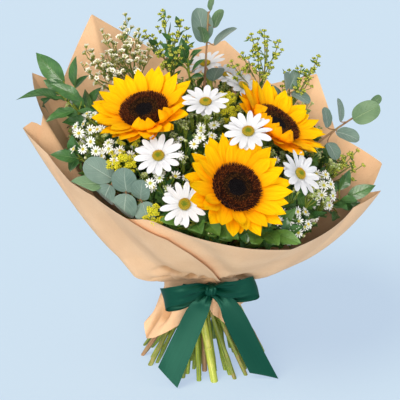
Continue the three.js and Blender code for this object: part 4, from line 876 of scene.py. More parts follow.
def within_paper(point, margin):
    """Whether a point is inside the paper with some room to spare."""
    azimuth = math.degrees(math.atan2(point[1], point[0]))
    t = np.linspace(0, 1, 20)
    radius, height, _, _ = bowl_line(azimuth, neck_radius(azimuth % 360), TIE_HEIGHT + NECK_HALF_HEIGHT, t)
    limit = np.interp(point[2], height, radius) + max(0.0, point[2] - height[-1]) * 0.4
    return math.hypot(point[0], point[1]) < limit - margin


def held_in(points, margin):
    """The points of a leaf, drawn in wherever they would go through the wall of the paper."""
    flat = np.array(points).reshape(-1, 3)
    azimuth = np.degrees(np.arctan2(flat[:, 1], flat[:, 0])) % 360
    t = np.linspace(0, 1, 24)[:, None]
    radius, height, _, _ = bowl_line(azimuth, neck_radius(azimuth), TIE_HEIGHT + NECK_HALF_HEIGHT, t)
    wall = np.array([np.interp(z, rises, runs) for z, rises, runs in zip(flat[:, 2], height.T, radius.T)])
    wall = wall - margin + 3 * np.maximum(0, flat[:, 2] - height[-1])
    reach = np.hypot(flat[:, 0], flat[:, 1])
    flat[:, :2] *= np.where(reach > wall, wall / reach, 1.0)[:, None]
    return flat.reshape(np.shape(points))


broad_leaves = []
# How far leaves keep off the paper, and further at the front, where the paper is creased the most.
LEAF_MARGIN = 6
FRONT_MARGIN = 13
FRONT_BEARING, FRONT_SPREAD = 270, 40


def lay_leaf(skin, handles, leaf, half_widths, rng, kind=LEAF, rows=16, columns=11, fold=0.08, cup=0.1,
             twist=0.15, wave=0.04):
    """A leaf, as listed: the share of the stem that it leaves, and its blade's foot, tip and width."""
    leaves_at, foot, tip, width = leaf
    foot, tip = np.asarray(foot, float), np.asarray(tip, float)
    leaves_at = min(leaves_at, 0.985)
    root = bezier(handles, leaves_at)[0]
    along = tip - foot
    outward = 0.5 * unit(foot * (1, 1, 0)) + LEAF_FACING
    side = unit(np.cross(outward, along))
    up = unit(np.cross(along, side))
    t = np.linspace(0, 1, rows)[:, None]
    path = foot + along * t + up * LEAF_ARCH * np.linalg.norm(along) * 4 * t * (1 - t)
    sheet = blade(path, width * profile(half_widths, t[:, 0]), side, columns, cup=cup, fold=fold,
                  twist=rng.normal(0, twist), wave=rng.normal(0, wave))
    bearing = math.degrees(math.atan2(foot[1], foot[0])) % 360
    is_round = half_widths is ROUND_HALF_WIDTHS
    in_front = not is_round and abs(bearing - FRONT_BEARING) < FRONT_SPREAD
    skin.lay(held_in(sheet, FRONT_MARGIN if in_front else LEAF_MARGIN), kind, rng.uniform(0, 1))
    if is_round:
        broad_leaves.append((foot + 0.5 * along, 0.5 * width + 11))
    stalk = reach_out(root, bezier(handles, leaves_at + 0.01)[0] - root, foot + along * 0.03, along)
    lay_shoot(skin, stalk, 0.95, 0.6, 8, 6, BARK)


def begin_stem(stem, joints):
    """A piece begun with its stem, an empty one for what grows on it, and the line that its shoots leave."""
    stalk = Skin()
    return stalk, Skin(), lay_stem(stalk, *stem, joints=joints, tone=stem[1] / 360)


for side, (stem, leaves) in EUCALYPTUS.items():
    rng = np.random.default_rng(300 + len(leaves) + len(side))
    stalk, foliage, handles = begin_stem(stem, 26)
    for number, leaf in enumerate(leaves):
        kind = YOUNG_LEAF if number in YOUNG_LEAVES[side] else LEAF
        lay_leaf(foliage, handles, leaf, ROUND_HALF_WIDTHS, rng, kind, rows=22, columns=15)
    bark = green_bark if side == "middle" else eucalyptus_bark
    stalk.build(f"eucalyptus_{side}_stalk", [bark, cut_end], [f"eucalyptus_stem_{side}"], "eucalyptus_blue")
    foliage.build(f"eucalyptus_{side}_leaves", [eucalyptus_leaf, eucalyptus_bark, young_leaf],
                  [f"eucalyptus_stem_{side}"], "eucalyptus_blue")

# ==== Glossy pointed leaves
# Six woody stems of pointed, glossy dark green leaves that frame the flowers at the left, the right
# and the front rim of the paper and stand up at the back.

LEAFY = {
    "back": (("middle", 130, 2.1, (-28, 42, 368), (-0.1, 0, 1)), [
        (0.93, (-40, 44, 370), (-61, 42, 390), 14), (0.96, (-33, 46, 372), (-20, 46, 391), 12),
        (0.98, (-26, 40, 366), (-11, 37, 383), 12), (0.95, (-24, 34, 356), (-8, 26, 374), 12),
        (1.0, (-29, 43, 371), (-36, 48, 396), 13)]),
    "left": (("outer", 162, 2.1, (-176, 4, 338), (-0.7, 0.1, 0.7)), [
        (0.97, (-172, 16, 349), (-204, 24, 382), 23), (0.9, (-160, 16, 344), (-157, 20, 379), 15),
        (0.88, (-152, 4, 332), (-185, 2, 350), 16), (1.0, (-179, 3, 340), (-224, -10, 334), 16),
        (0.98, (-176, -6, 334), (-200, -22, 346), 16), (0.9, (-158, -10, 322), (-189, -24, 312), 17),
        (0.84, (-140, 8, 312), (-150, 30, 338), 16), (0.8, (-148, 12, 316), (-170, 10, 333), 15),
        (0.8, (-144, 20, 320), (-130, 24, 341), 15), (0.76, (-142, -8, 308), (-172, -16, 309), 16),
        (0.76, (-136, 2, 308), (-124, 6, 328), 14)]),
    "low_left": (("outer", 176, 2.0, (-148, -58, 282), (-0.6, -0.1, 0.8)), [
        (1.0, (-149, -59, 284), (-154, -62, 308), 19), (0.98, (-149, -64, 281), (-178, -72, 288), 15),
        (0.9, (-132, -50, 268), (-136, -30, 294), 16), (0.88, (-122, -62, 258), (-132, -84, 270), 16)]),
    "front": (("outer", 264, 2.0, (-14, -138, 232), (0.1, -0.8, 0.6)), [
        (0.95, (-30, -134, 236), (-56, -146, 240), 17), (0.98, (-18, -143, 234), (-12, -164, 232), 20),
        (1.0, (-6, -143, 236), (6, -166, 230), 18), (0.96, (6, -140, 230), (26, -164, 226), 19),
        (0.9, (-32, -120, 228), (-50, -132, 250), 15)]),
    "front_right": (("outer", 279, 2.0, (58, -136, 222), (0.3, -0.8, 0.5)), [
        (0.96, (44, -140, 224), (40, -170, 220), 19), (0.98, (56, -142, 224), (66, -172, 222), 18),
        (1.0, (64, -140, 224), (92, -156, 216), 15), (0.9, (66, -118, 222), (88, -124, 246), 15)]),
    "right": (("outer", 344, 2.1, (150, -38, 222), (0.9, -0.2, 0.3)), [
        (1.0, (155, -38, 226), (188, -36, 240), 16), (0.97, (148, -28, 232), (160, -20, 254), 15),
        (0.97, (146, -48, 226), (166, -62, 228), 15), (0.9, (134, -54, 222), (150, -80, 226), 17),
        (0.86, (116, -66, 232), (92, -94, 250), 19)]),
}
POINTED_HALF_WIDTHS = [
    (0, 0.05), (0.08, 0.2), (0.24, 0.42), (0.42, 0.5), (0.62, 0.42), (0.8, 0.25), (0.93, 0.09), (1, 0.01)]

glossy_leaf = leaf_material(
    "glossy leaf", (0.020, 0.075, 0.018), (0.065, 0.18, 0.040), (0.18, 0.32, 0.10), 7.0, 1.6, 0.3,
    size=0.01, Coat_Weight=0.15)
fresh_leaf = leaf_material(
    "fresh leaf", (0.040, 0.115, 0.016), (0.115, 0.235, 0.034), (0.20, 0.33, 0.08), 5.0, 1.4, 0.45)
leafy_bark = stem_material("leafy stem", (0.08, 0.13, 0.010), (0.32, 0.40, 0.030), (0.29, 0.27, 0.05), 0.55)

for side, (stem, leaves) in LEAFY.items():
    rng = np.random.default_rng(400 + len(leaves) + len(side))
    stalk, foliage, handles = begin_stem(stem, 30)
    for leaf in leaves:
        lay_leaf(foliage, handles, leaf, POINTED_HALF_WIDTHS, rng, fold=0.22, cup=0.05, twist=0.25, wave=0.07)
        leaves_at, foot, tip, width = leaf
        foot, tip = np.array(foot, float), np.array(tip, float)
        smaller = foot + rng.normal(0, 5, 3) - (0, 0, 5)
        turned_tip = smaller + unit(tip - foot + rng.normal(0, 10, 3)) * 0.7 * np.linalg.norm(tip - foot)
        lay_leaf(foliage, handles, (leaves_at - 0.03, smaller, turned_tip, 0.75 * width), POINTED_HALF_WIDTHS,
                 rng, fold=0.22, cup=0.05, twist=0.3, wave=0.07, rows=12, columns=7)
    blade_material = fresh_leaf if side.startswith("front") else glossy_leaf
    stalk.build(f"leafy_{side}_stalk", [leafy_bark, cut_end], [f"leafy_stem_{side}"], "leaf_green")
    foliage.build(f"leafy_{side}_leaves", [blade_material, leafy_bark], [f"leafy_stem_{side}"], "leaf_green")

# ==== White asters
# Five sprays of small asters. Thin stalks branch from each stem to open flowers with a dozen narrow
# white petals round a yellow-green middle, with round green buds and slips of leaves among them.

# A spray is its stem and its clusters: where each is, the way it looks, its two half sizes, how many
# flowers it has, and the share of the stem that its stalks leave.
ASTERS = {
    "left": (("outer", 190, 2.0, (-122, -52, 288), (-0.4, -0.2, 1)), [
        ((-132, -60, 312), (-0.35, -0.6, 0.7), (32, 32), 15, 0.7),
        ((-106, -84, 296), (-0.2, -0.7, 0.7), (20, 18), 7, 0.6),
        ((-136, -30, 318), (-0.5, -0.4, 0.8), (18, 22), 6, 0.7)]),
    "middle": (("core", 207, 1.9, (-22, -70, 296), (-0.1, -0.4, 1)), [
        ((-18, -84, 320), (0, -0.6, 0.8), (27, 24), 13, 0.75),
        ((-38, -96, 306), (0, -0.7, 0.7), (12, 14), 4, 0.6)]),
    "low": (("outer", 249, 1.9, (-50, -108, 252), (-0.1, -0.6, 0.8)), [
        ((-48, -122, 274), (0, -0.8, 0.6), (26, 13), 9, 0.72)]),
    "right": (("outer", 328, 1.9, (118, -56, 236), (0.6, -0.3, 0.7)), [
        ((128, -74, 252), (0.5, -0.7, 0.5), (14, 21), 8, 0.72),
        ((84, -92, 292), (0.4, -0.7, 0.6), (11, 18), 8, 0.5),
        ((110, -92, 236), (0.5, -0.7, 0.5), (12, 14), 3, 0.6)]),
    "front_right": (("outer", 294, 1.9, (84, -108, 212), (0.5, -0.7, 0.5)), [
        ((88, -124, 228), (0.3, -0.9, 0.4), (20, 21), 10, 0.72)]),
}
ASTER_RADIUS = 6.5
ASTER_CUP = [(0.5, -2.0), (1.1, -1.4), (1.5, -0.4), (1.3, 0.2)]
OPEN_ASTERS = ((11, 0.97), (10, 0.9), (10, 0.75), (9, 0.5))


def bud_material(name, dark, light, tip, tip_from, tip_share, roughness, **settings):
    """A small bud: its own green by its tone, and a paler tip."""
    material, tree, surface = new_material(name, Roughness=roughness, **settings)
    where = place_on_surface(tree)
    body = blend(tree, where.tone, dark, light)
    paint(tree, surface, tinted(tree, body, tip, where.along, tip_from, 0.95, tip_share))
    return material


aster_petal = ramp_material("aster petal", 0.6, [
    (0.0, (0.50, 0.58, 0.26)), (0.3, (0.76, 0.77, 0.70)), (1.0, (0.82, 0.80, 0.80))])
aster_heart, tree, surface = new_material("aster middle", Roughness=0.75)
paint(tree, surface, blend(tree, place_on_surface(tree).tone, (0.62, 0.44, 0.03), (0.42, 0.46, 0.05)))
spray_green = stem_material("spray stem", (0.09, 0.15, 0.010), (0.34, 0.43, 0.030), (0.32, 0.31, 0.06), 0.5)
bud_green = bud_material(
    "green bud", (0.24, 0.34, 0.06), (0.42, 0.47, 0.13), (0.72, 0.72, 0.52), 0.6, 0.8, roughness=0.55)

PETAL, HEART, BUD = 0, 1, 2
SLIP_LEAF = 2
# How far in front of a large flower or a round leaf nothing small may stand.
KEPT_CLEAR_OF_HEADS, KEPT_CLEAR_OF_LEAVES = 22, 40


def small_daisy(petals, open_share, rng):
    """An aster flower in its own frame: petals, a beaded middle and a green cup."""
    rays = []
    for k in range(petals):
        out = way_at(2 * math.pi * (k + rng.uniform(-0.2, 0.2)) / petals)
        length = ASTER_RADIUS * rng.uniform(0.86, 1.06)
        rise = (1 - open_share) * length
        flat = np.sqrt(max(length**2 - rise**2, 1))
        path = [out * 1.0 + (0, 0, 0.1), out * (1.0 + 0.5 * flat) + (0, 0, 0.4 + 0.35 * rise),
                out * flat + (0, 0, 0.2 + rise)]
        rays.append(blade(spline(path, 5), [0.3, 0.7, 0.88, 0.74, 0.15], (-out[1], out[0], 0), 3, cup=0.25,
                          twist=rng.normal(0, 0.3)))
    hearts = [turned([(1.5, 0.0), (1.75, 0.5), (1.25, 1.05), (0.03, 1.2)], 8)]
    for k in range(7):
        spot = way_at(k * 2 * math.pi / 6) * (0.95 if k < 6 else 0)
        hearts.append(turned([(0.3, 0.6), (0.45, 1.0), (0.25, 1.35), (0.03, 1.45)], 8) + spot)
    cup = turned(ASTER_CUP, 8)
    return [(np.stack(rays), PETAL, False), (np.stack(hearts), HEART, True), (cup, BUD, True)]


def cluster_places(at, looks, size, count, leaves_at, seed):
    """Small flowers spread evenly over a domed patch, as the solid model has them."""
    looks = unit(looks)
    turn, _ = flower_frame(at, looks)
    draw = seeded(seed)
    spots = []
    for i in range(count):
        share = math.sqrt((i + 0.5) / count)
        angle = i * GOLDEN_TURN + 0.5 * draw()
        x, y = size[0] * share * math.cos(angle), size[1] * share * math.sin(angle)
        depth = -7 * share * share + 5 * (draw() - 0.5)
        tilt = unit(turn @ np.array([0.5 * math.cos(angle) * share, 0.5 * math.sin(angle) * share, 1]))
        spots.append((turn @ np.array([x, y, depth]) + at, tilt, leaves_at + 0.27 * (1 - share)))
    return spots


def lay_stalk(skin, handles, leaves_at, end, arrive, radius, rows=7):
    """A thin stalk that leaves a stem and reaches out to its end; gives the line that it follows."""
    leaves_at = min(leaves_at, 0.98)
    root = bezier(handles, leaves_at)[0]
    leave = bezier(handles, leaves_at + 0.01)[0] - root
    line = reach_out(root, leave, end, arrive, 0.36)
    lay_shoot(skin, line, 1.3 * radius, radius, rows, 5)
    return line


def slip_leaves(skin, line, count, length, rng, width=0.2):
    """Narrow little leaves along a stalk."""
    for share in np.linspace(0.25, 0.85, count):
        foot = bezier(line, share)[0]
        way = unit(unit(bezier(line, share + 0.05)[0] - foot) + rng.normal(0, 0.6, 3))
        side = unit(np.cross(way, rng.normal(0, 1, 3)))
        long = length * rng.uniform(0.6, 1.2)
        t = np.linspace(0, 1, 6)[:, None]
        droop = unit(np.cross(side, way)) * 0.12 * long * t**2
        widths = long * width * profile([(0, 0.1), (0.35, 0.5), (0.75, 0.3), (1, 0.02)], t[:, 0])
        leaf = blade(foot + way * long * t + droop, widths, side, 3, fold=0.25)
        skin.lay(leaf, SLIP_LEAF, rng.uniform(0, 1))


def clear_of_heads(point, margin=0.0):
    """Whether a point is out of the way of every large flower's petals."""
    for (turn, at), radius, depth in flower_heads:
        local = (np.asarray(point) - at) @ turn
        across = math.hypot(local[0], local[1])
        if across < radius + margin and -depth - margin < local[2] < KEPT_CLEAR_OF_HEADS:
            return False
    return True


def clear_of_leaves(point):
    """Whether a point keeps off the faces of the big round leaves."""
    for middle, room in broad_leaves:
        away = np.linalg.norm(point - middle)
        ahead = (point - middle) @ unit(LEAF_FACING)
        if -3 < ahead < KEPT_CLEAR_OF_LEAVES and away**2 - ahead**2 < room**2:
            return False
    return True


def way_frame(looks, rng):
    """A frame looking along looks and turned any way about it."""
    looks = unit(looks)
    if abs(looks[2]) > 0.995:
        looks = unit(looks + (0.1, 0, 0))
    turn, _ = flower_frame((0, 0, 0), looks)
    spin = rng.uniform(0, 2 * math.pi)
    c, s = math.cos(spin), math.sin(spin)
    return turn @ np.array([[c, -s, 0], [s, c, 0], [0, 0, 1]])


def spray_places(name, clusters, behind, wider, more, seed, margin):
    """The places of a spray's flowers: a front layer and one behind it, clear of the large heads."""
    for i, (at, looks, size, count, leaves_at) in enumerate(clusters):
        spots = cluster_places(at, looks, size, count, leaves_at, 7 * i + len(name))
        size_behind = wider * size[0], wider * size[1]
        spots += cluster_places(np.array(at) - behind * unit(looks), looks, size_behind, round(more * count),
                                leaves_at, seed + i)
        for j, (spot, tilt, share) in enumerate(spots):
            if clear_of_heads(spot, margin):
                yield j, j < count, spot, tilt, share


def set_one(skin, shapes, looks, at, size, rng):
    """One small flower or bud, turned any way about the way it looks; its size may be a pair to draw from."""
    turn = way_frame(looks, rng)
    size = rng.uniform(*size) if isinstance(size, tuple) else size
    sow(skin, shapes, [(turn, at)], size, rng.uniform(0, 1))


for side, (stem, clusters) in ASTERS.items():
    name = f"aster_spray_{side}"
    rng = np.random.default_rng(500 + len(side))
    stalk, flowers, handles = begin_stem(stem, 28)
    open_flowers = [small_daisy(petals, share, rng) for petals, share in OPEN_ASTERS]
    for j, in_front, spot, tilt, share in spray_places(name, clusters, 5, 1.05, 1.3, 90, 3.0):
        tilt = unit(tilt + rng.normal(0, 0.18, 3))
        if not in_front and j % 2 == 0:
            set_one(flowers, [(bead(1.9, 3.6, 8), BUD, True)], tilt, spot - 2 * tilt, 1.0, rng)
        else:
            shape = open_flowers[0 if in_front and j % 3 else rng.integers(0, 4)]
            size = rng.uniform(0.92, 1.1) if in_front else rng.uniform(0.7, 0.95)
            set_one(flowers, shape, tilt, spot, size, rng)
        line = lay_stalk(stalk, handles, share, spot - 1.8 * tilt, tilt, 0.45)
        slip_leaves(stalk, line, 3, 9, rng)
    stalk.build(f"aster_{side}_stalks", [spray_green, cut_end, fresh_leaf], [name], "stem_green")
    flowers.build(f"aster_{side}_flowers", [aster_petal, aster_heart, bud_green], [name], "aster_white")

# ==== Yellow solidago
# Two sprays with tight balls of tiny yellow-green buds at the ends of their thin stalks. Each ball is
# a few small heads grown close together, and slips of leaves stand along the stalks.

SOLIDAGO = {
    "left": (("outer", 204, 1.9, (-98, -78, 280), (-0.2, -0.3, 1)), [
        ((-98, -92, 300), (-0.2, -0.6, 0.8), (19, 27), 17, 0.75),
        ((-95, -104, 293), (-0.2, -0.7, 0.7), (12, 17), 7, 0.7),
        ((-64, -138, 244), (-0.2, -0.8, 0.5), (10, 13), 6, 0.6)]),
    "middle": (("middle", 30, 1.9, (18, -22, 322), (0.1, -0.3, 1)), [
        ((25, -34, 340), (0.1, -0.5, 0.9), (24, 24), 22, 0.75)]),
}
BUD_HEADS = 5
BUDS_ON_HEAD = 11

solidago_yellow, tree, surface = new_material("solidago buds", Roughness=0.7, Specular_IOR_Level=0.2)
where = place_on_surface(tree)
yellow = blend(tree, between(tree, where.along, 0.3, 0.9), (0.45, 0.46, 0.02), (1.0, 0.82, 0.03))
paint(tree, surface, blend(tree, reckon(tree, "MULTIPLY", where.tone, 0.45), yellow, (0.66, 0.66, 0.05)))


def bud_lump(rng):
    """A knobbly lump: small heads of tiny buds, close together round the end of a stalk."""
    shapes = []
    for h in range(BUD_HEADS):
        middle = 2.6 * way_at(h * GOLDEN_TURN) * (h > 0)
        middle = middle + (0, 0, 1.4 - 1.5 * h * rng.uniform(0.5, 1.3))
        for k in range(BUDS_ON_HEAD):
            height = 1 - 1.6 * (k + 0.5) / BUDS_ON_HEAD
            way = unit(math.sqrt(1 - height * height) * way_at(k * GOLDEN_TURN) + height * UPWARD)
            turn, _ = flower_frame((0, 0, 0), way)
            shapes.append(bead(0.62, 1.7, 5) @ turn.T + way * 0.8 * rng.uniform(0.7, 1.4) + middle)
    return [(np.stack(shapes), 0, True)]


for side, (stem, clusters) in SOLIDAGO.items():
    name = f"solidago_spray_{side}"
    rng = np.random.default_rng(600 + len(side))
    stalk, flowers, handles = begin_stem(stem, 30)
    for _, in_front, spot, tilt, share in spray_places(name, clusters, 4, 1.0, 1.0, 70, 1.0):
        size = rng.uniform(0.85, 1.15) if in_front else rng.uniform(0.55, 0.85)
        set_one(flowers, bud_lump(rng), tilt, spot, size, rng)
        line = lay_stalk(stalk, handles, share, spot, tilt, 0.45)
        slip_leaves(stalk, line, 2, 8, rng)
    stalk.build(f"solidago_{side}_stalks", [spray_green, cut_end, fresh_leaf], [name], "stem_green")
    flowers.build(f"solidago_{side}_buds", [solidago_yellow], [name], "solidago_yellow")

# ==== Budded plumes
# Five airy sprays of small oval buds, yellow-green with cream tips, on thin forking stalks. The one
# at the left is waxflower, with small white flowers open among its buds.

WAXFLOWER, KNOBS = "waxflower", "knobs"
# A plume is its stem, its sort and the places of its branches' ends.
PLUMES = {
    "left": (("outer", 148, 1.9, (-108, 56, 398), (-0.3, 0.1, 1)), WAXFLOWER, [
        (-147, 40, 380), (-128, 50, 396), (-102, 62, 414), (-86, 50, 398), (-122, 34, 374), (-105, 50, 400),
        (-117, 45, 386), (-90, 50, 392), (-74, 45, 381), (-100, 38, 385), (-117, 34, 375), (-105, 30, 376),
        (-146, 30, 376), (-137, 26, 372), (-131, 20, 366), (-148, 16, 364), (-140, 10, 358), (-120, 15, 364),
        (-84, 30, 375), (-127, 24, 373)]),
    "back_left": (("outer", 134, 1.9, (-58, 58, 412), (-0.25, 0.1, 1)), KNOBS, [
        (-80, 58, 402), (-58, 62, 425), (-36, 62, 414), (-66, 40, 396), (-46, 46, 400), (-27, 44, 398),
        (-58, 32, 384), (-42, 27, 382)]),
    "back_right": (("outer", 78, 2.0, (66, 54, 386), (0, 0, 1)), KNOBS, [
        (47, 58, 398), (62, 54, 403), (80, 50, 391), (54, 36, 378), (70, 34, 369), (36, 45, 378),
        (23, 48, 368)]),
    "right": (("outer", 58, 2.0, (118, 38, 362), (0.4, 0.1, 1)), KNOBS, [
        (126, 42, 375), (106, 38, 364), (92, 42, 358), (116, 28, 352), (103, 22, 344)]),
    "far_right": (("outer", 0, 1.9, (164, -6, 254), (0.8, 0, 0.6)), KNOBS, [
        (172, 0, 272), (160, -10, 270), (178, -12, 258), (158, 6, 262), (150, -14, 258)]),
}
BRANCH_REACH = 56.0
WAX_FORKS = (0.42, 0.54, 0.66, 0.78, 0.88, 0.98)
KNOB_FORKS = (0.46, 0.60, 0.72, 0.84)
WAX_CUP = [(0.35, -3.0), (0.9, -2.0), (1.3, -0.5), (1.1, 0.3)]
KNOB_BUD = 3

plume_green = stem_material("plume stem", (0.07, 0.11, 0.012), (0.24, 0.29, 0.035), (0.32, 0.19, 0.07), 0.55)
knob_green = bud_material(
    "plume bud", (0.06, 0.14, 0.010), (0.32, 0.38, 0.025), (0.74, 0.64, 0.12), 0.55, 0.75, roughness=0.6,
    Specular_IOR_Level=0.3)
wax_petal = ramp_material("waxflower petal", 0.6, [
    (0.0, (0.42, 0.42, 0.10)), (0.3, (0.88, 0.84, 0.66)), (1.0, (0.96, 0.92, 0.82))])
wax_bud = bud_material(
    "waxflower bud", (0.09, 0.14, 0.012), (0.30, 0.28, 0.04), (0.86, 0.78, 0.50), 0.6, 0.85, roughness=0.55)


def wax_flower(rng, radius=3.4):
    """A waxflower: five round white petals, a green middle and a tapering green cup."""
    rays = []
    for k in range(5):
        out = way_at(2 * math.pi * (k + rng.uniform(-0.1, 0.1)) / 5)
        path = [out * 0.8, out * 0.6 * radius + (0, 0, 0.8), out * radius + (0, 0, 1.4)]
        rays.append(blade(spline(path, 5), [0.5, 1.15, 1.4, 1.1, 0.3], (-out[1], out[0], 0), 3, cup=0.3))
    heart = turned([(1.1, 0.2), (1.2, 0.8), (0.8, 1.4), (0.03, 1.6)], 8)
    return [(np.stack(rays), PETAL, False), (heart, BUD, True), (turned(WAX_CUP, 8), BUD, True)]


def side_ways(line, share, spin, spread):
    """A point of a branch, the way on along it, and a way that leaves it to one side."""
    start = bezier(line, share)[0]
    ahead = unit(bezier(line, share + 0.02)[0] - start)
    aside = unit(np.cross(ahead, (math.cos(spin), math.sin(spin), 0.3)))
    return start, ahead, unit(ahead + spread * aside)


def lay_wax_sprig(stalk, buds, line, rng):
    """Forks that all reach up to about one level, each ending in a few flowers and buds."""
    for k, share in enumerate(WAX_FORKS):
        start, ahead, way = side_ways(line, share, k * 2.4 + rng.uniform(0, 1), 0.75 if share < 0.95 else 0.1)
        end = start + way * rng.uniform(0.8, 1.1) * 17 * (1.12 - share) + (0, 0, 1.5)
        twig = reach_out(start, way, end, ahead + (0, 0, 0.7))
        lay_shoot(stalk, twig, 0.42, 0.34, 6, 5, tone=rng.uniform(0, 1))
        for _ in range(rng.integers(3, 5)):
            out = unit(unit(end - start) + (0, 0, 0.5) + rng.normal(0, 0.5, 3))
            head = end + out * rng.uniform(1.5, 4.0)
            lay_shoot(stalk, reach_out(end, way, head, out), 0.3, 0.3, 3, 4)
            if rng.random() < 0.55:
                set_one(buds, wax_flower(rng), out, head + 2.2 * out, (0.75, 1.05), rng)
            else:
                set_one(buds, [(bead(1.2, 3.0, 7), BUD, True)], out, head, (0.8, 1.15), rng)


def lay_knobs(buds, line, shares, rng):
    """Knobs of five small buds sitting close round a twig, with a sixth that points on along it."""
    places, sizes = [], []
    for k, share in enumerate(shares):
        for turn in range(6):
            spread = 1.4 if turn < 5 else 0.1
            start, _, way = side_ways(line, min(share, 0.975), 1.26 * turn + 1.3 * k, spread)
            places.append((way_frame(way, rng), start + way * rng.uniform(0.5, 1.3)))
            sizes.append(rng.uniform(0.8, 1.2) * (1.2 - 0.25 * share))
    sow(buds, [(bead(1.35, 2.7, 6), KNOB_BUD, True)], places, sizes, rng.uniform(0, 1, len(places)))


def lay_knob_sprig(stalk, buds, line, rng):
    """Forks with knobs along them and a few slips of leaves, under the knobs of the branch's own end."""
    lay_knobs(buds, line, (0.72, 0.86, 0.99), rng)
    for k, share in enumerate(KNOB_FORKS):
        start, ahead, way = side_ways(line, share, k * 2.4 + rng.uniform(0, 1), 0.9)
        end = start + way * rng.uniform(0.8, 1.1) * 24 * (1.15 - share)
        twig = reach_out(start, way, end, ahead + (0, 0, 0.5))
        lay_shoot(stalk, twig, 0.42, 0.3, 7, 5, tone=0.8)
        lay_knobs(buds, twig, (0.55, 0.98) if share < 0.65 else (0.98,), rng)
        slip_leaves(stalk, twig, 2, 7, rng, 0.3)


for side, (stem, sort, tips) in PLUMES.items():
    name = f"bud_spray_{side}"
    rng = np.random.default_rng(700 + len(side))
    stalk, buds, handles = begin_stem(stem, 32)
    broad = side == "back_left"
    way_up = bezier(handles, np.linspace(0, 1, 60))[:, 2]
    for tip in tips:
        leaves_at = float(np.interp(tip[2] - BRANCH_REACH, way_up, np.linspace(0, 1, 60)))
        root = bezier(handles, leaves_at)[0]
        line = lay_stalk(stalk, handles, leaves_at, tip, tip - root + (0, 0, 25), 0.55, rows=12)
        slip_leaves(stalk, line, 4, 17 if broad else 11, rng, 0.4 if broad else 0.26)
        (lay_wax_sprig if sort is WAXFLOWER else lay_knob_sprig)(stalk, buds, line, rng)
    slip_colour = glossy_leaf if broad else fresh_leaf
    stalk.build(f"plume_{side}_stalks", [plume_green, cut_end, slip_colour], [name], "stem_green")
    buds.build(f"plume_{side}_buds", [wax_petal, aster_heart, wax_bud, knob_green], [name], "bud_green")

# ==== Filling leaves
# Short leafy side shoots below the flowers, with lobed, narrow and small glossy leaves, and loose heads
# of tiny green and cream flowers. They fill the bunch, dark and close, and stems added between the
# others carry them.

rng = np.random.default_rng(42)
# Places that the level of the flowers is weighed from: round the large heads, in the small clusters,
# and all the way round the rim of the paper.
anchors, anchor_heights = [], []
for (turn, at), radius, _ in flower_heads:
    for angle in np.linspace(0, 2 * math.pi, 8, endpoint=False):
        edge = at + turn @ np.array([0.6 * radius * math.cos(angle), 0.6 * radius * math.sin(angle), -6])
        anchors.append(edge[:2])
        anchor_heights.append(edge[2])
for table in (ASTERS, SOLIDAGO):
    for _, clusters in table.values():
        for at, looks, *_ in clusters:
            anchors.append(np.array(at[:2]) - 4 * unit(looks)[:2])
            anchor_heights.append(at[2] - 10)
for azimuth in np.arange(0, 360, 12):
    radius, height = rim_at(azimuth)
    anchors.append(radius * 0.95 * way_at(math.radians(azimuth))[:2])
    anchor_heights.append(min(height, 330) + 6)
anchors, anchor_heights = np.array(anchors), np.array(anchor_heights)


def bed_height(spot):
    """How high the flowers stand at a place, weighed from those round about."""
    weights = 1 / (np.sum((anchors - spot) ** 2, axis=1) + 150) ** 1.5
    return float(weights @ anchor_heights / weights.sum())


def bed_reach(azimuth):
    """How far out towards the rim the leaves grow: at the two sides the paper's inside is left bare."""
    return np.interp(azimuth, [0, 20, 60, 150, 168, 178, 214, 236, 300, 322, 342, 360],
                     [0.66, 0.74, 0.84, 0.88, 0.84, 0.72, 0.74, 0.9, 0.92, 0.88, 0.78, 0.66])


def leaf_shape(length, width, half_widths, rows, columns, fold, lobes=0.0):
    """A leaf in its own frame, its foot at the middle, growing along the third axis and facing the first."""
    t = np.linspace(0, 1, rows)
    widths = width * profile(half_widths, t)
    if lobes:
        widths = widths * (1 - lobes * (0.5 + 0.5 * np.cos(2 * math.pi * 3.2 * t)) * (t > 0.12))
    path = np.stack([-0.25 * length * t**2.2, np.zeros(rows), length * t], 1)
    return blade(path, widths, (0, -1, 0), columns, fold=fold, cup=0.08, wave=0.1)


LOBED_HALF_WIDTHS = [(0, 0.08), (0.2, 0.2), (0.45, 0.5), (0.75, 0.42), (0.93, 0.2), (1, 0.05)]
NARROW_HALF_WIDTHS = [(0, 0.1), (0.3, 0.5), (0.7, 0.36), (1, 0.02)]
FRESH, GLOSSY = 0, 1
# The kinds of filling leaf, their looks and their lengths, and how often each grows in two places.
FILLING_SHAPES = [
    (leaf_shape(24, 18, LOBED_HALF_WIDTHS, 14, 5, 0.15, 0.38), FRESH, 24),
    (leaf_shape(20, 6, NARROW_HALF_WIDTHS, 7, 3, 0.3), FRESH, 20),
    (leaf_shape(24, 14, POINTED_HALF_WIDTHS, 9, 5, 0.2), GLOSSY, 24),
    (leaf_shape(14, 8, POINTED_HALF_WIDTHS, 7, 5, 0.2), FRESH, 14),
]
NEAR_RIM = [0.4, 0.15, 0.27, 0.18]
FURTHER_IN = [0.1, 0.36, 0.1, 0.44]
# The added stems: their ring, how many it takes, and how thick they are.
FILLING_STEMS = [("outer", 16, 1.9), ("between", 18, 2.0), ("middle", 8, 1.9), ("inside", 10, 1.9)]
FILLING_STEM_TOP = (112.0, 205.0)
SHOWN_ROWS = 11
# Two layers of shoots: how far under the level of the flowers they end, and how far apart they stand.
FILLING_LAYERS = [(30, 12.5), (54, 18.0)]
HALF_WIDTH, HALF_DEPTH = 215, 180
FRONT_FROM, FILLING_FRONT_MARGIN, FILLING_MARGIN = -90, 14, 7
BEHIND_HEADS = 8
UMBEL = 1


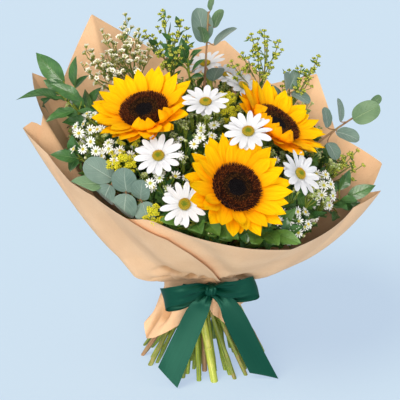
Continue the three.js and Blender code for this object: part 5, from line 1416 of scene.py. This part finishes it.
def pulled_back(point):
    """A point moved down behind any large flower whose petals it would stand in."""
    point = np.array(point, float)
    for _ in range(2):
        for (turn, at), radius, depth in flower_heads:
            local = (point - at) @ turn
            if math.hypot(local[0], local[1]) < radius + 6 and -depth - BEHIND_HEADS < local[2] < 60:
                point = point - turn[:, 2] * (local[2] + depth + BEHIND_HEADS)
    return point


def small_umbel(skin, root, top, outward, rng):
    """A loose head of small green and cream star flowers and buds, each on its own thin stalk."""
    for _ in range(rng.integers(5, 10)):
        way = unit(outward + rng.normal(0, 0.4, 3))
        head = top + unit(rng.normal(0, 1, 3)) * (1, 1, 0.4) * rng.uniform(1, 9)
        if not clear_of_heads(head, 2.5) or not within_paper(head, 2) or not clear_of_leaves(head):
            continue
        lay_shoot(skin, reach_out(root, outward, head, way), 0.35, 0.35, 5, 4, tone=0.8)
        if rng.random() < 0.5:
            star = [(sheets, UMBEL, closed) for sheets, _, closed in wax_flower(rng, rng.uniform(2.4, 3.4))]
            set_one(skin, star, way, head + 2.2 * way, 1.0, rng)
        else:
            set_one(skin, [(bead(1.35, 2.9, 7), UMBEL, True)], way, head, (0.8, 1.2), rng)


def has_room(foot, tie, radius):
    """Whether a stem can be added without touching any other below the paper."""
    lower = foot + (tie - foot) * np.linspace(0, 1, STRAIGHT_ROWS)[:, None]
    gaps = [np.linalg.norm(path[:STRAIGHT_ROWS] - lower, axis=1) - radii[:STRAIGHT_ROWS]
            for _, path, radii in laid_stems]
    return all(np.min(gap[:SHOWN_ROWS]) > radius for gap in gaps)


def leaf_the_shoot(skin, line, outward, leaf, margin, rng):
    """Leaves round a shoot from its end down, left out where they would be in the way."""
    shape, kind, length = leaf
    turn = way_frame(outward, rng)
    for k in range(rng.integers(5, 8)):
        at = bezier(line, 1.0 - 0.10 * k)[0]
        angle = k * GOLDEN_TURN + rng.uniform(-0.3, 0.3)
        spread = 0.4 + 0.2 * k
        lean = turn @ np.array([
            math.sin(spread) * math.cos(angle), math.sin(spread) * math.sin(angle), math.cos(spread)])
        size = rng.uniform(0.6, 0.95)
        if not all(clear_of_heads(at + lean * length * size * part, 1.5) for part in (0.4, 0.7, 1.0)):
            continue
        if not all(within_paper(at + lean * length * size * part, margin) for part in (0.5, 1.0)):
            continue
        if not clear_of_leaves(at + lean * 0.6 * length * size):
            continue
        up = unit(outward - lean * (outward @ lean) + rng.normal(0, 0.05, 3))
        axes = np.stack([up, np.cross(lean, up), lean], 1)
        sow(skin, [(shape, kind, False)], [(axes, at)], size, rng.uniform(0, 1))


filling, umbels = {"left": Skin(), "right": Skin()}, {"left": Skin(), "right": Skin()}
added_stems = Skin()
for ring, most, thickness in FILLING_STEMS:
    for lean in rng.permutation(np.arange(0, 360, 4)):
        radius = thickness * rng.uniform(0.85, 1.15)
        if most == 0 or not has_room(*stem_run(ring, lean), 1.3 * radius):
            continue
        most -= 1
        way = way_at(math.radians(lean))
        top = way * FILLING_STEM_TOP[0] + UPWARD * FILLING_STEM_TOP[1]
        while not within_paper(top, FILLING_FRONT_MARGIN):
            top = top * (0.96, 0.96, 1.0)
        lay_stem(added_stems, ring, lean, radius, top, way * 0.7 + UPWARD, joints=rng.uniform(26, 40),
                 tone=rng.uniform(0, 1))
stem_points = np.concatenate([path[STRAIGHT_ROWS:] for _, path, _ in laid_stems])

spots = []
for depth_down, spacing in FILLING_LAYERS:
    for x in np.arange(-HALF_WIDTH, HALF_WIDTH, spacing):
        for y in np.arange(-HALF_DEPTH, HALF_DEPTH, spacing):
            spot = np.array([x, y]) + rng.uniform(-0.45, 0.45, 2) * spacing
            azimuth = math.degrees(math.atan2(spot[1], spot[0]))
            share_out = np.linalg.norm(spot) / rim_at(azimuth)[0]
            if share_out < bed_reach(azimuth % 360):
                spots.append((spot, bed_height(spot) - depth_down - rng.uniform(0, 10), share_out))
for spot, height, share_out in spots:
    end = pulled_back((*spot, height))
    for _ in range(12):
        if within_paper(end, 6):
            break
        end = end * (0.96, 0.96, 1.0) + (0, 0, 1.5)
    root = stem_points[np.argmin(np.linalg.norm(stem_points - (end - (0, 0, 34)), axis=1))]
    outward = unit(np.array([0.7 * spot[0] / 190, 0.7 * spot[1] / 190, 1.0]))
    line = reach_out(root, outward, end, outward, 0.35)
    lay_shoot(added_stems, line, 0.9, 0.5, 7, 5)
    leaf = FILLING_SHAPES[rng.choice(4, p=NEAR_RIM if share_out > 0.66 else FURTHER_IN)]
    if spot[0] < -70 and rng.random() < 0.5:
        leaf = FILLING_SHAPES[2]
    half = "left" if spot[0] < 0 else "right"
    margin = FILLING_FRONT_MARGIN if spot[1] < FRONT_FROM else FILLING_MARGIN
    leaf_the_shoot(filling[half], line, outward, leaf, margin, rng)
    if rng.random() < 0.5 and share_out < 0.86:
        small_umbel(umbels[half], end, end + outward * rng.uniform(12, 24), outward, rng)

filling_leaf = leaf_material(
    "filling leaf", (0.022, 0.070, 0.010), (0.085, 0.19, 0.026), (0.15, 0.26, 0.06), 5.0, 1.4, 0.5)
added_stems.build("filling_stems", [spray_green, cut_end], [], "stem_green")
for half in filling:
    filling[half].build(f"filling_leaves_{half}", [filling_leaf, glossy_leaf], [], "leaf_green")
    umbels[half].build(f"filling_umbels_{half}", [spray_green, bud_green], [], "bud_green")

# ==== Binding twine
# Three turns of rough jute, drawn tight round the spiral of stems under the paper. They hold the
# stems where they cross. The solid's own shape is kept, and only its look is set here.

twine, tree, surface = new_material("jute twine", Roughness=0.9)
place_in_bunch = step(tree, "ShaderNodeTexCoord", out="Object")
strands = step(tree, "ShaderNodeTexNoise", {"Vector": place_in_bunch, "Scale": 900.0, "Detail": 4.0})
paint(tree, surface, blend(tree, between(tree, strands, 0.3, 0.7), (0.24, 0.15, 0.07), (0.50, 0.35, 0.19)))
relief(tree, surface, strands, 0.0008)
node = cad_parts["binding_twine"]
node.data.materials.clear()
node.data.materials.append(twine)

# ==== Kraft paper
# Three sheets of brown kraft paper wrapped one over another: one behind the flowers, one in front of
# them and one folded over from the left. They are gathered in pleats at the tie and flare below it,
# with shade painted into the hollows of their creases.

LAYER_STEP = 2.2
BOWL_LAYER_STEP = 1.5
SIDE_DROP = 12.5
SKIRT_ROWS, NECK_ROWS, BOWL_ROWS = 14, 4, 60
# A sheet is the layer it lies in, the bearings that it spans, how far up the bowl it reaches at some
# bearings, the height of its hem, and where it stands off: a puff at the neck, a valley along its edge.
SHEETS = {
    "back": dict(
        layer=0, azimuths=(-10, 198),
        reach=[(-10, 0.96), (3, 0.97), (9.5, 1), (184.5, 1), (188, 0.93), (198, 0.9)],
        hem=[(-10, 84), (60, 78), (150, 74), (198, 70)]),
    "front": dict(
        layer=1, valley=6.0, azimuths=(209, 363),
        reach=[(209, 0.9), (228, 0.96), (244, 1), (350, 1), (363, 0.97)],
        hem=[(209, 76), (240, 90), (258, 90), (268, 84), (288, 68), (300, 62), (325, 78), (363, 92)]),
    "flap": dict(
        layer=2, puff=19.0, azimuths=(176.25, 283),
        reach=[(176.25, 0.74), (182, 0.88), (186, 1), (236.5, 1), (251, 0.9), (270.5, 0.45), (283, 0.1)],
        hem=[(176.25, 66), (190, 46), (198, 36), (209, 44), (224, 60), (244, 80), (262, 92), (283, 98)]),
}
FLARE = [
    (0, 0.45), (60, 0.45), (150, 0.62), (176, 0.93), (190, 0.87), (199, 0.8), (210, 0.72),
    (224, 0.6), (245, 0.58), (262, 0.56), (288, 0.44), (325, 0.36), (360, 0.45),
]
# The bearing of the flap's edge at shares of the way up, which the front sheet dips beside.
FLAP_EDGE = [(0.1, 283), (0.45, 270.5), (0.9, 251), (1.0, 236.5)]
SKIRT_FOLD_AT = 204.0
SKIRT_FOLD_DEPTH = 10.0
# How deep a hollow must be to get the full painted shade of a crease.
CREASE_SHADE_DEPTH = 14.0
# Each family of folds: how many go round the bunch, how they lean and how they wander.
PLEATS = dict(count=11, climb=2, sway=1.3, waves=3)
FINE_PLEATS = dict(count=29, sway=2, waves=5)
LONG_FOLDS = dict(count=5, climb=1.5, sway=0.9, waves=2)
SOFT_DENTS = dict(count=7, climb=7, start=2.0)
CRUSHED = dict(count=17, climb=9, sway=2.5, waves=2)
CRUSHED_ACROSS = dict(count=26, climb=-14, start=1)
SKIRT_PLEATS = dict(count=13, climb=0.6, sway=1.8, waves=4)
SKIRT_FOLDS = dict(count=7, climb=5.0, start=1.0)
# Single dents: bearing, share of the way up, half width, half height, and depth. Some stand out.
DENTS = [
    (200, 0.27, 30, 0.24, -6), (212, 0.19, 12, 0.06, 8), (228, 0.34, 16, 0.14, 8), (243, 0.20, 12, 0.12, 8),
    (262, 0.14, 9, 0.1, 7), (297, 0.22, 16, 0.14, 8), (316, 0.14, 12, 0.12, 6), (336, 0.26, 18, 0.14, 6),
    (184, 0.16, 12, 0.12, 5), (287, 0.13, 5, 0.11, 8), (305, 0.15, 6, 0.12, 9), (20, 0.2, 16, 0.12, -5),
    (60, 0.24, 16, 0.14, -6), (96, 0.16, 12, 0.12, -5), (130, 0.26, 18, 0.14, -6),
]
DENT_SLANT = 60


def read_off(pairs, at):
    return np.interp(at, [pair[0] for pair in pairs], [pair[1] for pair in pairs])


def folds(around, along, count, climb=0, sway=0, waves=0, start=0):
    """Straight-sided folds, from 0 to 1 and back, so many of them in a turn."""
    angle = count * around + sway * np.sin(waves * around) + climb * along + start
    return np.abs(2 * (angle / (2 * math.pi) % 1) - 1)


def ring_points(around, radius, height):
    return np.stack([radius * np.cos(around), radius * np.sin(around), height], 1)


def crumple(azimuth, t):
    """How far the paper stands in or out of its smooth shape: the same for every sheet."""
    a = np.radians(azimuth)
    near_tie = np.exp(-((t / (0.22 + 0.16 * np.maximum(0, np.cos(a - math.radians(285))) ** 2)) ** 2))
    pleats = near_tie * (4.2 * folds(a, t, **PLEATS) + 1.2 * folds(a, t, **FINE_PLEATS) - 2.1)
    long_folds = 3.4 * np.sin(math.pi * np.clip(t, 0, 1)) ** 0.8 * (folds(a, t, **LONG_FOLDS) - 0.5)
    dents = 2.2 * np.exp(-(((t - 0.3) / 0.16) ** 2)) * (folds(a, t, **SOFT_DENTS) - 0.5)
    for middle, height, wide, tall, depth in DENTS:
        off_middle = np.abs(azimuth - middle - DENT_SLANT * (t - height)) / wide
        dents = dents - depth * np.clip(1 - off_middle - np.abs(t - height) / tall, 0, 1)
    crushed = np.exp(-(((t - 0.13) / 0.16) ** 2))
    crush = 3.8 * folds(a, t, **CRUSHED) + 2.4 * folds(a, t, **CRUSHED_ACROSS) - 3.1
    bump = pleats + long_folds + dents + crushed * crush
    return np.where((azimuth > 5) & (azimuth < 170), np.maximum(bump, -0.5), bump)


def paper_sheet(sheet):
    """Rows from the hem of the skirt up to the edge, columns round the bunch, and how hollow each is, for the
    shade painted into its creases.
    """
    first, last = sheet["azimuths"]
    azimuth = np.linspace(first, last, round((last - first) * 1.6) + 1)
    around = np.radians(azimuth)
    layer = LAYER_STEP * sheet["layer"]
    neck = neck_radius(azimuth) + layer + 0.5 * np.cos(np.radians(18 * azimuth))
    puff = sheet.get("puff", 0) * np.exp(-(((azimuth - 194) / 15) ** 2))
    low = TIE_HEIGHT - NECK_HALF_HEIGHT + 0.3 * layer - 0.4 * SIDE_DROP * np.cos(around) ** 2
    high = TIE_HEIGHT + NECK_HALF_HEIGHT - 0.55 * layer - SIDE_DROP * np.cos(around) ** 2
    hem = read_off(sheet["hem"], azimuth)
    flare = read_off(FLARE, azimuth % 360) * (low - hem)
    rows, shaded_hollows = [], []
    for share in np.linspace(1, 0, SKIRT_ROWS):
        pleat = (1.5 + 6.5 * share) * (folds(around, share, **SKIRT_PLEATS) - 0.5)
        pleat = pleat + 5.0 * math.sin(math.pi * share) * (folds(around, share, **SKIRT_FOLDS) - 0.5)
        fold = np.clip(1 - np.abs(azimuth - SKIRT_FOLD_AT - 9 * share) / 7, 0, 1)
        pleat = pleat - SKIRT_FOLD_DEPTH * math.sin(math.pi * min(1.0, 0.25 + share)) ** 0.5 * fold
        sideways = share**0.92 * flare * 0.9
        rows.append((neck + puff * (1 - share) ** 2 + sideways + pleat, low - share * (low - hem)))
        shaded_hollows.append(-pleat)
    for share in np.linspace(0, 1, NECK_ROWS + 2)[1:-1]:
        rows.append((neck + puff + 0.4 * np.abs(np.sin(np.radians(9 * azimuth))), low + share * (high - low)))
        shaded_hollows.append(0 * azimuth)
    reach = read_off(sheet["reach"], azimuth)
    for share in np.linspace(0, 1, BOWL_ROWS):
        t = share * reach
        radius, height, out, up = bowl_line(azimuth, neck + puff, high, t)
        creases = crumple(azimuth, t) * np.minimum(1, 7 * t)
        ripple = 2.2 * (1 - t) * t * 4 * np.cos(np.radians(9 * azimuth)) + creases
        edge = read_off(FLAP_EDGE, t)
        beside_edge = np.exp(-(((azimuth - edge - 9) / 9) ** 2))
        valley = sheet.get("valley", 0) * beside_edge * np.clip(4 * t - 0.6, 0, 1)
        push = ripple + BOWL_LAYER_STEP * sheet["layer"] * np.minimum(1, 4 * t) - valley
        rows.append((radius + push * out, height + push * up))
        shaded_hollows.append(-creases)
    points = np.array([ring_points(around, radius, height) for radius, height in rows])
    return points, np.clip(0.5 + np.array(shaded_hollows) / CREASE_SHADE_DEPTH, 0, 1)


kraft, tree, surface = new_material("kraft paper", Roughness=0.75)
place_in_bunch = step(tree, "ShaderNodeTexCoord", out="Object")
where = place_on_surface(tree)
pulp = step(tree, "ShaderNodeTexNoise", {
    "Vector": place_in_bunch, "Scale": 420.0, "Detail": 5.0, "Roughness": 0.7})
cloudy = step(tree, "ShaderNodeTexNoise", {"Vector": place_in_bunch, "Scale": 22.0, "Detail": 3.0})
ribs = use_group(tree, fibres, {
    "Across": where.across, "Along": where.along, "Tone": 0.3, "Count": 260.0, "Stretch": 14.0})["Streaks"]
paper = blend(tree, between(tree, cloudy, 0.3, 0.7), (0.745, 0.452, 0.250), (0.805, 0.510, 0.293))
specks = tinted(tree, paper, (0.54, 0.31, 0.15), pulp, 0.52, 0.75, 0.35)
ribbed = tinted(tree, specks, (0.90, 0.64, 0.40), ribs, 0.5, 0.8, 0.16)
# Painted shade: the paper turns darker brown in the hollows of its creases and pleats, the deeper the darker.
paint(tree, surface, tinted(tree, ribbed, (0.47, 0.24, 0.10), where.tone, 0.52, 0.82, 0.85))
relief(tree, surface, reckon(tree, "ADD", pulp, cloudy), 0.0005)

for side, sheet in SHEETS.items():
    wrap = Skin()
    points, shaded_hollows = paper_sheet(sheet)
    # Each sheet's hollows become its tone, which paints shade into its creases.
    wrap.lay(points, tone=shaded_hollows)
    wrap.build(f"kraft_{side}", [kraft], [f"kraft_sheet_{side}"], "kraft")

# ==== Satin ribbon
# One length of dark green satin ribbon, 30 mm wide: drawn round the neck of the paper, gathered in a
# small knot at the front and tied there in a bow with two loops and two slant-cut tails.

# The upper and the lower edge of each stretch of ribbon, from the knot on.
BOW = {
    "loop_left": (
        [(-3, -48.5, 120), (-16, -60.5, 128), (-36, -69.5, 129), (-53, -67.5, 125),
         (-61, -58.5, 120), (-56, -49.5, 115), (-32, -46.5, 113), (-3, -44.5, 117)],
        [(-3, -47.5, 111), (-16, -58.5, 108), (-34, -68.5, 105), (-48, -67.5, 101),
         (-55, -59.5, 93), (-50, -51.5, 86), (-30, -46.5, 89), (-3, -43.5, 107)]),
    "loop_right": (
        [(2, -48.5, 120), (13, -60.5, 129), (28, -69.5, 135), (41, -67.5, 138),
         (48, -58.5, 136), (43, -50.5, 130), (24, -46.5, 121), (2, -44.5, 117)],
        [(2, -47.5, 111), (15, -59.5, 108), (32, -68.5, 113), (47, -66.5, 116),
         (56, -58.5, 110), (51, -51.5, 101), (28, -46.5, 96), (2, -43.5, 107)]),
    "tail_left": (
        [(-7, -47.5, 113), (-18, -55.5, 105), (-29, -59.5, 94), (-48, -68.5, 58), (-64, -76.5, 25)],
        [(2, -48.5, 108), (-1, -57.5, 99), (-6, -61.5, 84), (-23, -72.5, 43), (-41, -85.5, 2)]),
    "tail_right": (
        [(4, -48.5, 115), (20, -56.5, 111), (38, -59.5, 90), (60, -62.5, 44), (81, -64.5, 2)],
        [(-5, -47.5, 109), (8, -58.5, 98), (15, -60.5, 76), (31, -62.5, 42), (46, -64.5, 10)]),
}
LOOP_ROWS, TAIL_ROWS, RIBBON_COLUMNS = 72, 56, 26
FOLDS_FADE = 0.2
KNOT_AT = np.array([-1, -48.5, 114.5])
KNOT_SIZE = np.array([9.6, 9.2, 7.6 * 0.86])
KNOT_SQUARENESS = 3.2
BAND_HEIGHT = 110.0
BAND_HALF_HEIGHT = 5.2
BAND_SIDE_DROP = 8.0
# The layer of paper that is outermost at each bearing, which the band lies on.
OUTERMOST = [(0, 1), (20, 0), (160, 0), (176, 2), (288, 2), (305, 1), (360, 1)]

satin, tree, surface = new_material("green satin", Roughness=0.42, Metallic=0.38, Specular_IOR_Level=0.2)
weave = fibres_along(tree, place_on_surface(tree), 60.0, 3.0)
paint(tree, surface, blend(tree, weave, (0.0012, 0.044, 0.026), (0.003, 0.072, 0.044)))
relief(tree, surface, weave, 0.0001)


def ribbon_sheet(rails, steps, looped):
    """A length of ribbon between two rails, with folds that run out from the knot and fade."""
    upper, lower = spline(rails[0], steps), spline(rails[1], steps)
    t = np.linspace(0, 1, steps)
    along = unit(np.gradient(0.5 * (upper + lower), axis=0))
    out = unit(np.cross(along, lower - upper))
    share = np.linspace(0, 1, RIBBON_COLUMNS)
    sheet = upper[:, None] + (lower - upper)[:, None] * share[None, :, None]
    near = np.exp(-((t / FOLDS_FADE) ** 2)) + (np.exp(-(((1 - t) / FOLDS_FADE) ** 2)) if looped else 0)
    drift = 1.1 * t[:, None]
    gathers = near[:, None] * (2.6 * np.cos(2 * math.pi * (1.6 * share[None] + drift) + 0.6)
                               + 1.1 * np.cos(2 * math.pi * (3.7 * share[None] - drift) + 1))
    slack = np.sin(math.pi * share)[None] * np.sin(2 * math.pi * 1.3 * t)[:, None]
    return sheet + out[:, None, :] * (gathers + slack)[:, :, None]


for part, rails in BOW.items():
    looped = part.startswith("loop")
    skin = Skin()
    skin.lay(ribbon_sheet(rails, LOOP_ROWS if looped else TAIL_ROWS, looped), tone=len(part) / 12)
    length = skin.build(f"ribbon_{part}", [satin], ["satin_ribbon"], "satin")

# The knot: a squarish lump of ribbon drawn in at its waist, with gathers down it.
knot = Skin()
angles = np.linspace(0, 2 * math.pi, 72, endpoint=False)
rows = []
for height in np.linspace(-1, 1, 28):
    ring = max(1 - abs(height) ** KNOT_SQUARENESS, 0.0004) ** (1 / KNOT_SQUARENESS)
    gather = 1 + 0.05 * np.sin(7 * angles + 1.5 * height) + 0.035 * np.sin(13 * angles - 2 * height + 1)
    waist = 1 - 0.10 * (1 - height * height)
    wide = ring * gather * waist * np.cos(angles)
    deep = ring * gather * np.sin(angles)
    rows.append(KNOT_AT + KNOT_SIZE * np.stack([wide, deep, height + 0.05 * np.sin(4 * angles)], 1))
knot.lay(np.array(rows), tone=0.2, closed=True)
knot.build("ribbon_knot", [satin], ["satin_ribbon"], "satin")

# The band round the neck of the paper, with ridges along it where the ribbon is bunched.
band = Skin()
azimuth = np.linspace(0, 360, 180, endpoint=False)
around = np.radians(azimuth)
resting = neck_radius(azimuth) + LAYER_STEP * read_off(OUTERMOST, azimuth) + 2.6
rows = []
for height in np.linspace(-1, 1, 19):
    ridge = 0.9 * np.abs(np.sin(2.5 * math.pi * height + 0.5 * np.sin(np.radians(4 * azimuth)))) + 0.3
    rim = resting + ridge * (1 - abs(height) ** 6)
    level = BAND_HEIGHT - BAND_SIDE_DROP * np.cos(around) ** 2 + BAND_HALF_HEIGHT * height
    rows.append(ring_points(around, rim, level))
band.lay(np.array(rows), tone=0.7, closed=True)
band.build("ribbon_band", [satin], ["satin_ribbon"], "satin")

# ==== Studio
# A pale blue sweep of floor, soft light from the upper left and the front, and the camera. None of
# them is part of the bunch.

FLOOR_HALF_WIDTH = 60.0
corners = [(x * FLOOR_HALF_WIDTH, y * FLOOR_HALF_WIDTH, 0) for x, y in ((-1, -1), (1, -1), (1, 1), (-1, 1))]
floor_mesh = bpy.data.meshes.new("floor")
floor_mesh.from_pydata(corners, [], [(0, 1, 2, 3)])
floor = bpy.data.objects.new("floor", floor_mesh)
bpy.context.scene.collection.objects.link(floor)
pale_blue, _, surface = new_material("pale blue floor", Roughness=0.9, Specular_IOR_Level=0.05)
surface.inputs["Base Color"].default_value = (0.224, 0.270, 0.227, 1)
surface.inputs["Emission Color"].default_value = (0.381, 0.479, 0.658, 1)
surface.inputs["Emission Strength"].default_value = 1.0
floor_mesh.materials.append(pale_blue)

world = bpy.data.worlds.new("soft studio")
world.use_nodes = True
background = world.node_tree.nodes["Background"]
background.inputs["Color"].default_value = (0.95, 0.975, 1.0, 1)
background.inputs["Strength"].default_value = 0.5
bpy.context.scene.world = world

# Each lamp: its power, how wide it looks, and how far it is tilted and turned, in degrees.
LAMPS = [("key", 1.75, 30, 38, -50), ("front fill", 3.2, 40, 82, 0)]
for title, power, spread, tilt, bearing in LAMPS:
    lamp = bpy.data.lights.new(title, "SUN")
    lamp.energy = power
    lamp.angle = math.radians(spread)
    lamp.color = (1.0, 0.945, 0.87)
    lamp_at = bpy.data.objects.new(title, lamp)
    lamp_at.rotation_euler = (math.radians(tilt), 0, math.radians(bearing))
    bpy.context.scene.collection.objects.link(lamp_at)

eye = bpy.data.cameras.new("eye")
eye.lens = 80
eye.sensor_width = 36
camera = bpy.data.objects.new("eye", eye)
camera.location = (-0.0067, -0.9927, 0.5739)
camera.rotation_euler = (math.radians(70), 0, 0)
bpy.context.scene.collection.objects.link(camera)
bpy.context.scene.camera = camera
bpy.context.scene.view_settings.view_transform = "Standard"
